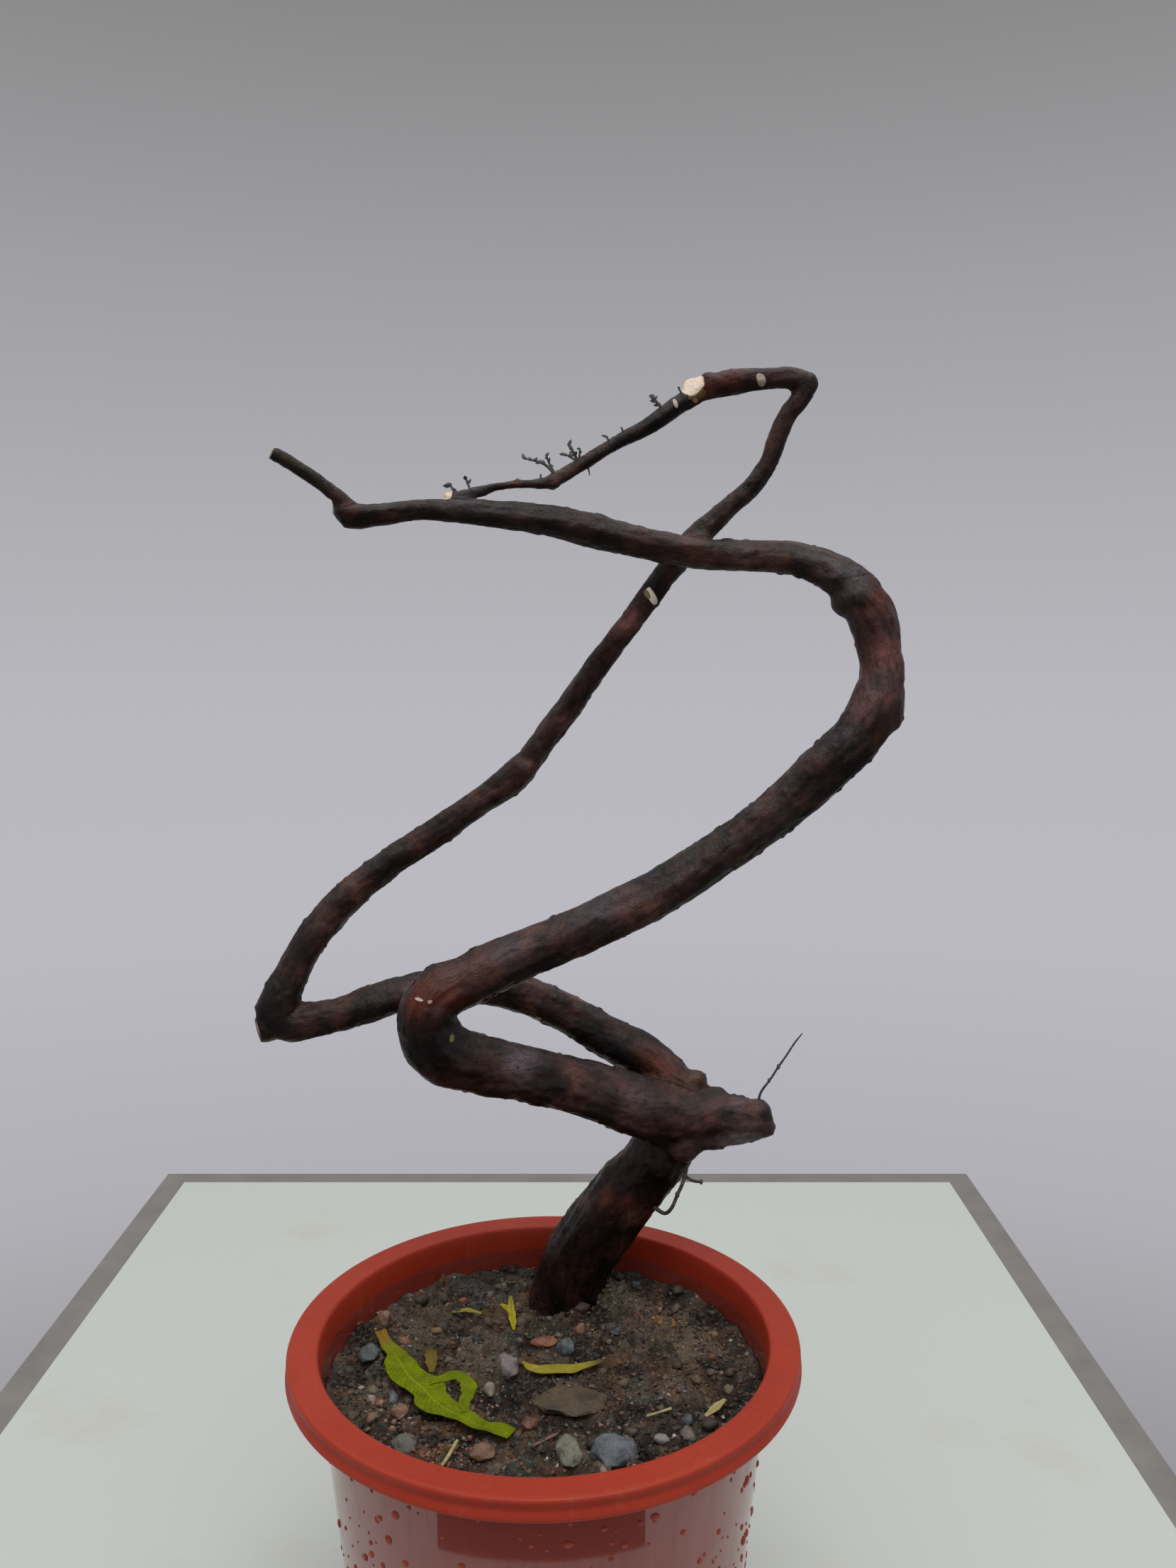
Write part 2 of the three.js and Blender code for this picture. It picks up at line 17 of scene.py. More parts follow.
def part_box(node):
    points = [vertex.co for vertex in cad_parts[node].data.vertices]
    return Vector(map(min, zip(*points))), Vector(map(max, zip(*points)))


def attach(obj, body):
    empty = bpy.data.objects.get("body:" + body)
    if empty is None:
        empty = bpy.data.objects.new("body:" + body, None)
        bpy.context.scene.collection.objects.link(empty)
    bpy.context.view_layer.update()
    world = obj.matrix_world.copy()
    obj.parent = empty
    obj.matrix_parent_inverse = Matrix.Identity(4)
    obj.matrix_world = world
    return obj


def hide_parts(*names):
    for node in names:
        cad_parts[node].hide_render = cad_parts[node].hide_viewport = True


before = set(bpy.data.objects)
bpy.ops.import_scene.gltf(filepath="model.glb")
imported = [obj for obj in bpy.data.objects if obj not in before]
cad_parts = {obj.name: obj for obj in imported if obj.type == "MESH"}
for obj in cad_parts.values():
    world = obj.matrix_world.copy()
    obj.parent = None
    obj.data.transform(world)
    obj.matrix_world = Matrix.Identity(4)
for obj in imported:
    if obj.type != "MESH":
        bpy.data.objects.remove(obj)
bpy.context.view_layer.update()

MM = 0.001
scene = bpy.context.scene


# Colours are written as screen colours and painted as light.
def paint(colour, share=1.0):
    """A screen colour such as 0x9d4031 as linear red, green, blue and an alpha of one."""
    channels = [(colour >> shift) & 255 for shift in (16, 8, 0)]
    linear = [((c / 255 + 0.055) / 1.055) ** 2.4 if c > 10 else c / 255 / 12.92 for c in channels]
    return (*[share * c for c in linear], 1.0)


def between(first, second, share):
    """A blend of two colours, or of two rows of numbers."""
    return [a * (1 - share) + b * share for a, b in zip(first, second)]


# Numbers that repeat: smooth noise on a lattice, the same as the part's source uses.
def lattice(i, j, k):
    value = np.sin(i * 127.1 + j * 311.7 + k * 74.7) * 43758.5453
    return value - np.floor(value)


def smooth(t):
    c = np.clip(t, 0.0, 1.0)
    return c * c * (3 - 2 * c)


def value_noise(x, y, z=0.0):
    """Smooth noise from -1 to 1. A whole z gives the flat noise of the part's source."""
    x, y, z = np.broadcast_arrays(np.asarray(x, float), np.asarray(y, float), np.asarray(z, float))
    i, j, k = np.floor(x), np.floor(y), np.floor(z)
    u, v, w = smooth(x - i), smooth(y - j), smooth(z - k)
    layers = []
    for lift in (0, 1):
        low = lattice(i, j, k + lift) * (1 - u) + lattice(i + 1, j, k + lift) * u
        high = lattice(i, j + 1, k + lift) * (1 - u) + lattice(i + 1, j + 1, k + lift) * u
        layers.append(low * (1 - v) + high * v)
    return (layers[0] * (1 - w) + layers[1] * w) * 2 - 1


def rough(places, scale, offset=0):
    return value_noise(*(places / scale + offset).T)


# Meshes and objects.
UP = Vector((0, 0, 1))
WELD = 1e-6


def mesh_of(shape, name, shade_smooth=True):
    mesh = bpy.data.meshes.new(name)
    shape.normal_update()
    shape.to_mesh(mesh)
    shape.free()
    if shade_smooth:
        mesh.shade_smooth()
    return mesh


def placed(name, data):
    obj = bpy.data.objects.new(name, data)
    scene.collection.objects.link(obj)
    return obj


def piece(name, mesh, material, slot, stands_for=()):
    obj = placed(name, mesh)
    mesh.materials.clear()
    mesh.materials.append(material)
    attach(obj, "root")
    if stands_for:
        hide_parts(*stands_for)


def baked(obj):
    """The object's mesh with its modifiers applied. The object itself is removed."""
    bpy.context.view_layer.update()
    depsgraph = bpy.context.evaluated_depsgraph_get()
    mesh = bpy.data.meshes.new_from_object(obj.evaluated_get(depsgraph))
    bpy.data.objects.remove(obj)
    return mesh


def with_modifier(mesh, kind, **settings):
    obj = placed("draft", mesh)
    modifier = obj.modifiers.new(kind.lower(), kind)
    for setting, value in settings.items():
        setattr(modifier, setting, value)
    return baked(obj)


def remeshed(shape, name, voxel):
    """One closed skin around all that is in the shape."""
    return with_modifier(mesh_of(shape, name), "REMESH", mode="VOXEL", voxel_size=voxel * MM, adaptivity=0.0)


def read(mesh, what="co"):
    values = np.empty(len(mesh.vertices) * 3)
    mesh.vertices.foreach_get(what, values)
    return values.reshape(-1, 3)


def write(mesh, places):
    mesh.vertices.foreach_set("co", places.ravel())
    mesh.update()


def spread(place, turn, size):
    """The matrix that sizes a unit shape, turns it and puts it at a place, in millimetres."""
    return Matrix.LocRotScale(Vector(place) * MM, turn, Vector(size) * MM)


def ball(shape, place, size, rounds, turn=None):
    at = spread(place, turn, size)
    return bmesh.ops.create_icosphere(shape, subdivisions=rounds, radius=1.0, matrix=at)["verts"]


def bevel(shape, offset, rounds):
    bmesh.ops.bevel(
        shape, geom=shape.edges[:], offset=offset, affect="EDGES", segments=rounds, profile=0.5, material=-1,
        clamp_overlap=True,
    )


def spun(points, steps, angle):
    """A line through points turned about the upright. A full turn closes on itself."""
    shape = bmesh.new()
    line = [shape.verts.new(point) for point in points]
    edges = [shape.edges.new(pair) for pair in zip(line, line[1:])]
    bmesh.ops.spin(
        shape, geom=line + edges, cent=(0, 0, 0), axis=UP, steps=steps, angle=angle,
        use_merge=angle == 2 * math.pi,
    )
    bmesh.ops.remove_doubles(shape, verts=shape.verts, dist=WELD)
    bmesh.ops.recalc_face_normals(shape, faces=shape.faces)
    return shape


BATCH = 48


def gathered(makers, name, shade_smooth=True):
    """One mesh of many small shapes, each made by calling its maker with a bmesh to add to."""
    whole = bmesh.new()
    for first in range(0, len(makers), BATCH):
        some = bmesh.new()
        for maker in makers[first : first + BATCH]:
            maker(some)
        part = mesh_of(some, name)
        whole.from_mesh(part)
        bpy.data.meshes.remove(part)
    return mesh_of(whole, name, shade_smooth)


# Materials and the room's light: a small kit over Blender's shader nodes.
class Nodes:
    """The nodes of one tree. Its colours are screen colours as whole numbers, or rows of light."""

    def __init__(self, tree, place):
        self.nodes, self.links = tree.nodes, tree.links
        self.place = self.add("TexCoord").outputs[place]

    def add(self, kind, settings=None, **inputs):
        node = self.nodes.new("ShaderNode" + kind)
        for setting, value in (settings or {}).items():
            setattr(node, setting, value)
        for name, value in inputs.items():
            self.feed(node.inputs[name.replace("_", " ")], value)
        return node

    def feed(self, socket, value):
        if isinstance(value, bpy.types.NodeSocket):
            self.links.new(value, socket)
        elif socket.type == "RGBA" and isinstance(value, int):
            socket.default_value = paint(value)
        else:
            socket.default_value = value

    def fed(self, node, numbers, *values):
        """A node's outputs, after its inputs of these numbers are fed."""
        for number, value in zip(numbers, values):
            self.feed(node.inputs[number], value)
        return node.outputs

    def attribute(self, name, output="Vector"):
        return self.add("Attribute", {"attribute_name": name}).outputs[output]

    def split(self, vector):
        return self.add("SeparateXYZ", Vector=vector).outputs

    def stretched(self, vector, last):
        """The vector with its last part scaled, for patterns that run that way."""
        return self.add("Mapping", Vector=vector, Scale=(1.0, 1.0, last)).outputs["Vector"]

    def noise(self, scale, detail=4.0, roughness=0.55, distortion=0.0, vector=None):
        node = self.add(
            "TexNoise", Vector=vector or self.place, Scale=scale, Detail=detail, Roughness=roughness,
            Distortion=distortion,
        )
        return node.outputs["Fac"]

    def cells(self, scale, output="Distance"):
        return self.add("TexVoronoi", Vector=self.place, Scale=scale).outputs[output]

    def ramp(self, value, *stops):
        """Colours at positions from 0 to 1, each stop (position, colour)."""
        node = self.add("ValToRGB", Fac=value)
        elements = node.color_ramp.elements
        while len(elements) < len(stops):
            elements.new(0.5)
        for element, (position, colour) in zip(elements, stops):
            element.position = position
            element.color = paint(colour) if isinstance(colour, int) else colour
        return node.outputs["Color"]

    def window(self, value, low, high, start=0.0, end=1.0):
        node = self.add("MapRange", {"interpolation_type": "SMOOTHSTEP"})
        return self.fed(node, range(5), value, low, high, start, end)["Result"]

    def mix(self, share, first, second, blend="MIX"):
        node = self.add("Mix", {"data_type": "RGBA", "blend_type": blend})
        return self.fed(node, (0, 6, 7), share, first, second)[2]

    def mottled(self, share, colour, pattern, *greys):
        """The colour times greys that follow a pattern, each (position, grey)."""
        shade = self.ramp(pattern, *[(position, (grey, grey, grey, 1)) for position, grey in greys])
        return self.mix(share, colour, shade, "MULTIPLY")

    def math(self, operation, first, second=0.0):
        return self.fed(self.add("Math", {"operation": operation}), (0, 1), first, second)[0]

    def spot(self, place, size, turn, edge, wobble=0.0):
        """One inside an ellipsoid at a place on the piece, falling to nothing across its edge."""
        mapping = self.add(
            "Mapping", {"vector_type": "TEXTURE"}, Vector=self.place, Location=[c * MM for c in place],
            Rotation=(0.0, turn, 0.0), Scale=[c * MM for c in size],
        )
        reach = self.add("VectorMath", {"operation": "LENGTH"}, Vector=mapping.outputs["Vector"])
        distance = self.math("ADD", reach.outputs["Value"], wobble)
        return self.window(distance, 1 - edge, 1 + edge, 1.0, 0.0)

    def bump(self, height, distance, strength, normal=None):
        node = self.add("Bump", Height=height, Distance=distance, Strength=strength)
        if normal is not None:
            self.feed(node.inputs["Normal"], normal)
        return node.outputs["Normal"]


class Finish(Nodes):
    """A material whose pattern is built from nodes on one Principled shader."""

    def __init__(self, name, **sockets):
        self.material = bpy.data.materials.new(name)
        self.material.use_nodes = True
        super().__init__(self.material.node_tree, "Object")
        self.shader = next(n for n in self.nodes if n.type == "BSDF_PRINCIPLED")
        self.done(**sockets)

    def done(self, **sockets):
        """The material, after the shader's sockets are fed."""
        for socket, value in sockets.items():
            self.feed(self.shader.inputs[socket.replace("_", " ")], value)
        return self.material


def plain_finish(name, pattern, tones, grain=None, **sockets):
    """A material of tones on one noise. Its grain is a noise's scale with the bump's height and strength."""
    finish = Finish(name, **sockets)
    if grain:
        scale, height, strength = grain
        finish.done(Normal=finish.bump(finish.noise(scale), height, strength))
    return finish.done(Base_Color=finish.ramp(finish.noise(*pattern), *tones))


# Camera, solved from the ellipses of the pot's rim and from the horizon.
CAMERA_PLACE = (0.0161, -0.4509, 0.4203)
CAMERA_PITCH = math.radians(83.085)
CAMERA_LENS = 29.39
CAMERA_SENSOR = 36.0
CAMERA_NEAR = 0.02

camera_data = bpy.data.cameras.new("camera")
camera_data.lens = CAMERA_LENS
camera_data.sensor_width = CAMERA_SENSOR
camera_data.clip_start = CAMERA_NEAR
scene.camera = placed("camera", camera_data)
scene.camera.location = CAMERA_PLACE
scene.camera.rotation_euler = (CAMERA_PITCH, 0.0, 0.0)

# The tree. Routes are lists of [x, y, z, radius].
TRUNK = [
    [-2, 54, 102, 14.5], [0, 56, 114, 14.7], [3, 59, 130, 15], [7, 60, 142, 15.2], [12, 58.5, 158, 14.7],
    [22, 55, 175, 14.4], [33, 52, 191, 13.8], [43, 49, 205, 12.6], [51, 46, 217, 11.4], [56, 44, 225, 9],
]
FRONT_BRANCH = [
    [87, 41, 225, 5.2], [84, 41, 225, 7.6], [77, 42, 225.5, 10], [66, 43, 225, 11.4], [56, 42, 225, 12],
    [43, 38, 230, 12], [31, 32, 235.5, 12], [19, 26, 242.5, 11.2], [7, 20, 248.6, 10.6],
    [-7, 12, 255.2, 10.6], [-22, 5, 261, 10.6], [-33, 0, 265.5, 11], [-40, -3, 273, 11.4],
    [-41.5, -5, 283, 10.6], [-37, -4, 290.5, 9.8], [-27, -2, 294.5, 9.3], [-13, 1, 301, 9.1],
    [3, 3, 307.5, 9], [21, 5, 315, 8.8], [43, 7, 325.5, 8.9], [64, 9, 339, 8.4], [83, 9, 353, 8.6],
    [100, 8, 369, 9.3], [113.5, 6, 383, 9], [119, 5, 393, 9.4], [120.5, 4, 403, 8], [119.5, 4, 412, 7.9],
    [117, 4, 423, 8.8], [111.5, 4, 432, 8.2], [102.5, 5, 439.5, 7.2], [91, 7, 444, 6.3],
    [80, 9, 445.5, 5.8], [68, 11, 446, 5.7], [55, 12, 447, 5.9], [40, 12, 450, 5.7], [30, 12, 452, 5.8],
    [18, 12, 455, 6.2], [4, 11, 458, 5.9], [-8, 10, 459.5, 5.3], [-19, 9, 460.5, 4.9], [-31, 8, 461.5, 4.1],
    [-45, 7, 461.5, 3.8], [-56, 6, 460, 4.1], [-65, 4, 459.5, 4.7], [-69.5, 4, 459.5, 4.3],
]
BACK_BRANCH = [
    [57, 47, 229, 8], [48, 51, 240, 9.4], [38, 52, 248, 9.4], [29, 51, 253, 8.8], [20, 50, 258.5, 8.3],
    [5, 47, 268.5, 7.9], [-4, 45, 273.5, 7.8], [-20, 42, 280, 7.6], [-39, 38, 281, 7.3],
    [-60, 35, 277.5, 7.2], [-69, 34, 275, 7.3], [-78, 33, 272, 6.8], [-88, 32, 270, 6.8],
    [-99, 31, 268.5, 7.8], [-104.5, 31, 272, 8], [-102.5, 31, 279, 7.4], [-98, 32, 288, 6.6],
    [-94, 33, 296, 6.4], [-90, 34, 302, 6.5], [-82, 36, 312, 6.6], [-69, 38, 324, 6.2], [-57, 39, 333, 6],
    [-46, 40, 340, 6], [-27, 40, 353, 5.6], [-13, 39, 363, 6], [-8, 39, 368, 5.2], [-3, 38, 375, 5.1],
    [9, 36, 391, 5.2], [15, 34, 400, 4.9], [26, 29, 415, 4.6], [35, 25, 427, 4.5], [43, 22, 438, 4.6],
    [51, 20, 448, 5.2], [57, 20, 454.5, 4.6], [63, 20, 460, 4.1], [67, 20, 464, 3.7], [75, 20, 471, 3.6],
    [81, 20, 480, 3.4], [85, 20, 491, 3.6], [88, 20, 497, 3.5], [92, 20, 502, 3.7], [94, 20, 506.5, 3.9],
    [90, 20, 509, 4], [82, 20, 509, 3.8], [71, 19, 508, 4.3], [64, 19, 507, 4.6], [58, 19, 505, 4.2],
    [55, 18, 503, 3.2], [49, 18, 500, 3.6], [43, 17, 495.5, 3.5], [36, 17, 491, 3.1], [30, 17, 488, 2.8],
    [21, 17, 483, 2.5], [13, 17, 478, 2.6], [6, 16, 474, 2.8], [0, 15, 471.6, 2.2], [-6, 14, 471.4, 1.7],
    [-13, 13, 470.8, 1.5], [-17.5, 12.6, 470, 1.7], [-22, 12, 468.7, 2.2], [-32.5, 12, 466.6, 2],
]
SIDE_SHOOT = [
    [-63, 4, 459, 2.6], [-69, 3, 464, 3], [-76, 1, 470, 2.6], [-81, -1, 473.5, 2.6], [-88, -3, 478, 2.6],
    [-92, -4, 480, 2.6],
]
DRY_TWIG = [
    [84, 42, 230, 0.7], [85, 42, 236, 0.5], [89, 42, 242, 0.45], [92, 42, 247, 0.48], [95, 42, 251.5, 0.4],
    [98, 41, 257, 0.38], [101, 41, 261, 0.25],
]
ROOTLET = [
    [56, 42, 212, 1.1], [55, 37, 205, 0.8], [53.5, 35, 201, 0.75], [51.5, 34, 197, 0.7],
    [49.5, 34, 192, 0.75], [47, 36, 188.5, 0.75], [43, 41, 188.5, 0.9],
]
SHORT_ROOTLET = [[54, 37, 204, 0.8], [58, 35, 202.5, 0.6], [61, 34, 202.5, 0.55]]
HAIR = [[16.2, 16.5, 477.5, 0.35], [16.7, 16.5, 474.7, 0.2]]
TWIG_BUDS = [[92, 42, 247, 0.95], [88.4, 42, 241.4, 0.85], [51.6, 34.1, 197.2, 1.2], [61, 34, 202.5, 0.9]]

# Knots, collars and cut scars, each [x, y, z, size].
KNOTS = [
    [83.5, 41, 229, [5.8, 6, 5.4]], [85.4, 41, 223.6, [5.5, 6, 5.4]], [60, 50, 238.5, [5.5, 5, 5]],
    [68, 48, 233, [5, 5, 4]], [54, 36, 217, [8, 6, 6.5]], [64, 38, 218.6, [9, 6, 4.4]],
    [50, 42, 223, [12, 10, 10]], [49, 47, 234, [9, 9, 9]], [-46, -5, 280, [6.5, 7, 7.5]],
    [124.5, 5, 391, [4, 6, 8]], [106.3, 3.2, 430, [5, 7, 5.8]], [116, 4, 431, [5, 5, 6]],
    [57, 15, 448, [7, 6, 5.5]], [27, 12, 456, [4.5, 4, 3]], [-9, 38, 367, [6, 6, 5.5]],
    [94.5, 20, 507, [4, 4, 4]], [59, 18, 507, [4, 4, 4]], [53, 17.5, 506, [3.6, 3.5, 3]],
    [3.5, 15, 471.8, [3, 2.8, 2.8]], [-9.1, 13.3, 472.4, [1.2, 1.2, 1.6]], [-108.5, 30, 266.5, [6, 6, 5.5]],
    [-68.5, 4, 461, [4.2, 4.5, 4.5]], [-33.6, 11.6, 467.2, [1.9, 1.8, 1.9]],
]

# The limbs under one skin, each with how far along it its slow ridges set in.
LIMBS = [(TRUNK, 52), (FRONT_BRANCH, -100), (BACK_BRANCH, -100), (SIDE_SHOOT, 1000)]
SETTING_IN = 12
SKIN_VOXEL = 0.99
SKIN_STEP = 1.0
SKIN_BLEND = 9
SKIN_CHUNK = 8000
SPLINE_STEPS = 12

# How far the bark's flakes, warts and furrows reach on a thick limb, and the share of it that furrows take.
FLAKE = 0.22
WART = 0.45
FURROW = 0.28
FURROW_WIDTH = 0.22


def follow(route, step):
    """Stations every step along a centripetal spline through the route, as the part's source lays it."""
    stations = np.array(route, float)
    places = stations[:, :3]
    ends = np.vstack([2 * places[0] - places[1], places, 2 * places[-1] - places[-2]])
    fine = []
    for i in range(len(places) - 1):
        before, first, last, after = ends[i : i + 4]
        d0, d1, d2 = [np.linalg.norm(b - a) ** 0.5 for a, b in zip(ends[i : i + 3], ends[i + 1 : i + 4])]
        leave = ((first - before) / d0 - (last - before) / (d0 + d1) + (last - first) / d1) * d1
        reach = ((last - first) / d1 - (after - first) / (d1 + d2) + (after - last) / d2) * d1
        for t in np.arange(0, 1, 1 / SPLINE_STEPS):
            place = first * (2 * t**3 - 3 * t**2 + 1) + leave * (t**3 - 2 * t**2 + t)
            place = place + last * (3 * t**2 - 2 * t**3) + reach * (t**3 - t**2)
            rest = stations[i, 3:] * (1 - smooth(t)) + stations[i + 1, 3:] * smooth(t)
            fine.append([*place, *rest])
    fine = np.array([*fine, stations[-1]])
    lengths = np.concatenate([[0], np.cumsum(np.linalg.norm(np.diff(fine[:, :3], axis=0), axis=1))])
    marks = np.linspace(0, lengths[-1], max(3, round(lengths[-1] / step) + 1))
    return marks, np.stack([np.interp(marks, lengths, column) for column in fine.T], axis=1)


def turned(vector, axis, angle):
    return np.array(Matrix.Rotation(angle, 3, Vector(axis)) @ Vector(vector))


class Limb:
    """The middle line of a limb with its frames, as the part's source turns them."""

    def __init__(self, route):
        self.along, stations = follow(route, SKIN_STEP)
        self.centre = stations[:, :3]
        self.radius = stations[:, 3]
        tangent = np.gradient(self.centre, axis=0)
        self.tangent = tangent / np.linalg.norm(tangent, axis=1)[:, None]
        start = np.eye(3)[np.argmin(np.abs(self.tangent[0]))]
        side = np.cross(self.tangent[0], start)
        normals = [np.cross(self.tangent[0], side / np.linalg.norm(side))]
        for before, after in zip(self.tangent, self.tangent[1:]):
            axis = np.cross(before, after)
            turn = math.acos(min(1.0, max(-1.0, float(before @ after))))
            normals.append(turned(normals[-1], axis, turn) if np.linalg.norm(axis) > 1e-9 else normals[-1])
        self.normal = np.array(normals)
        self.binormal = np.cross(self.tangent, self.normal)

    def nearest(self, places):
        """For each place: how far along, the angle round the limb, its radius, and the reach as a share."""
        found = []
        for some in np.array_split(places, max(1, len(places) // SKIN_CHUNK)):
            gap = (some**2).sum(1)[:, None] - 2 * some @ self.centre.T + (self.centre**2).sum(1)[None]
            j = gap.argmin(1)
            offset = some - self.centre[j]
            ahead = (offset * self.tangent[j]).sum(1)
            across = offset - ahead[:, None] * self.tangent[j]
            angle = np.arctan2((across * self.binormal[j]).sum(1), (across * self.normal[j]).sum(1))
            share = np.linalg.norm(offset, axis=1) / self.radius[j]
            found.append(np.stack([self.along[j] + ahead, angle, self.radius[j], share], axis=1))
        return np.concatenate(found).T


def slow_relief(along, angle, start):
    """Slow twisted ridges and swellings that the solids also have, as a share of the radius."""
    ridges = 0.035 * np.sin(3 * angle + along / 17) + 0.02 * np.sin(5 * angle - along / 23)
    swelling = 0.05 * value_noise(along / 11, 3 * np.cos(angle), 1)
    relief = ridges + swelling + 0.03 * value_noise(along / 26, 7.5, 2)
    return smooth((along - start) / SETTING_IN) * relief


def limb_tube(route, step=1.5, turns=4):
    """A tube along a route as a mesh, with closed ends."""
    _, stations = follow(route, step)
    curve = bpy.data.curves.new("limb", "CURVE")
    curve.dimensions = "3D"
    curve.bevel_depth = MM
    curve.bevel_resolution = turns
    curve.use_fill_caps = True
    spline = curve.splines.new("POLY")
    spline.points.add(len(stations) - 1)
    points = np.column_stack([stations[:, :3] * MM, np.ones(len(stations))])
    spline.points.foreach_set("co", points.ravel())
    spline.points.foreach_set("radius", stations[:, 3])
    return baked(placed("limb", curve))


def bark_skin():
    """One closed skin over trunk, branches and knots, with its ridges, wrinkles and warts."""
    shape = bmesh.new()
    for route, _ in LIMBS:
        shape.from_mesh(limb_tube(route))
    for *place, size in KNOTS:
        ball(shape, place, size, 3)
    skin = remeshed(shape, "bark", SKIN_VOXEL)
    shape = bmesh.new()
    shape.from_mesh(skin)
    for _ in range(3):
        bmesh.ops.smooth_vert(
            shape, verts=shape.verts, factor=0.5, use_axis_x=True, use_axis_y=True, use_axis_z=True
        )
    skin = mesh_of(shape, "bark")

    places = read(skin) / MM
    seen = [Limb(route).nearest(places) for route, _ in LIMBS]
    shares = np.array([found[3] for found in seen])
    weights = np.exp(-SKIN_BLEND * (shares - shares.min(0)))
    weights /= weights.sum(0)
    lift = sum(w * f[2] * slow_relief(f[0], f[1], start) for w, f, (_, start) in zip(weights, seen, LIMBS))

    owner = shares.argmin(0)
    along, angle, radius = [np.choose(owner, [found[i] for found in seen]) for i in range(3)]
    twist = angle + along / 70
    across, away = radius * np.cos(twist), radius * np.sin(twist)
    furrow = np.abs(value_noise(across / 3.3, away / 3.3, along / 15 + 17 * owner))
    flake = value_noise(across / 3.4, away / 3.4, along / 5 + 31 * owner)
    lumps = rough(places, 1.9) + 0.8 * rough(places, 4.3, 40)
    wart = smooth((rough(places, 2.9, 90) - 0.45) / 0.3)
    size = smooth((radius - 0.5) / 6.5)
    lift = lift + size * (FLAKE * flake + WART * wart - FURROW * smooth(1 - furrow / FURROW_WIDTH))
    lift = lift + (0.06 + 0.11 * size) * lumps
    places = places + read(skin, "normal") * lift[:, None]
    for place, normal, reach in CUT_FACES:
        direction = np.array(normal) / np.linalg.norm(normal)
        offset = places - place
        near = smooth((reach * 1.3 - np.linalg.norm(offset, axis=1)) / (reach * 0.3))
        places = places - direction * (np.maximum(offset @ direction, 0) * near)[:, None]
    write(skin, places * MM)
    limb = np.stack([across, away, along + 400 * owner], axis=1) * MM
    skin.attributes.new("limb", "FLOAT_VECTOR", "POINT").data.foreach_set("vector", limb.ravel())

    # The tints as a colour on the skin, with painted shade, sheen and reflection among them.
    tone = np.zeros((len(places), 4))
    for *place, reach, colour, strength in PATCHES:
        weight = strength * np.exp(-(((places - place) / reach) ** 2).sum(1))[:, None]
        tone = tone * (1 - weight) + np.array(paint(colour, WET)) * weight
    tone[:, :3] /= np.maximum(tone[:, 3:], 1e-4)
    skin.color_attributes.new("tone", "FLOAT_COLOR", "POINT").data.foreach_set("color", tone.ravel())
    return skin


# Flat faces where branches were cut off: place, direction that the cut faces, reach.
CUT_FACES = [
    ([-111.5, 28.5, 267], [-0.9, -0.4, -0.2], 5), ([-73, 3.5, 459.5], [-1, -0.2, 0], 5),
    ([-92.3, -4.2, 480.2], [-0.9, -0.2, 0.45], 4), ([53.5, 15.6, 506], [-0.25, -0.9, 0.35], 4),
]

# Tones of the bark, from wet black to raw pink wood, with painted shade, sheen and reflection among them.
# Pitch and soot: wet black bark, partly painted shade under the fork and bends, in crotches and at the foot.
PITCH = 0x0F0C0B
SOOT = 0x1A1311
MOSS_BLACK = 0x191B18
UMBER = 0x2B201E
BROWN = 0x3A2B27
OLIVE = 0x38301F
FAWN = 0x4A3D38
RED_BROWN = 0x4B2D25
OXIDE = 0x72301E
MAROON = 0x583A38
RUSSET = 0x70423A
BRICK = 0x7C3A32
# Lilac: painted sheen on the upper faces of the limbs.
LILAC_SHEEN = 0x5A4D51
ROSE = 0x80625F
# Mauve: painted sheen on an upper face of the front branch.
MAUVE_SHEEN = 0x887880
TAN = 0x886648
STONE = 0x68625C
# Ash: painted reflection on the wet underside of the cut stub.
ASH_REFLECTION = 0x9C9A96
RUST = 0x824B31
PINK = 0x96645F
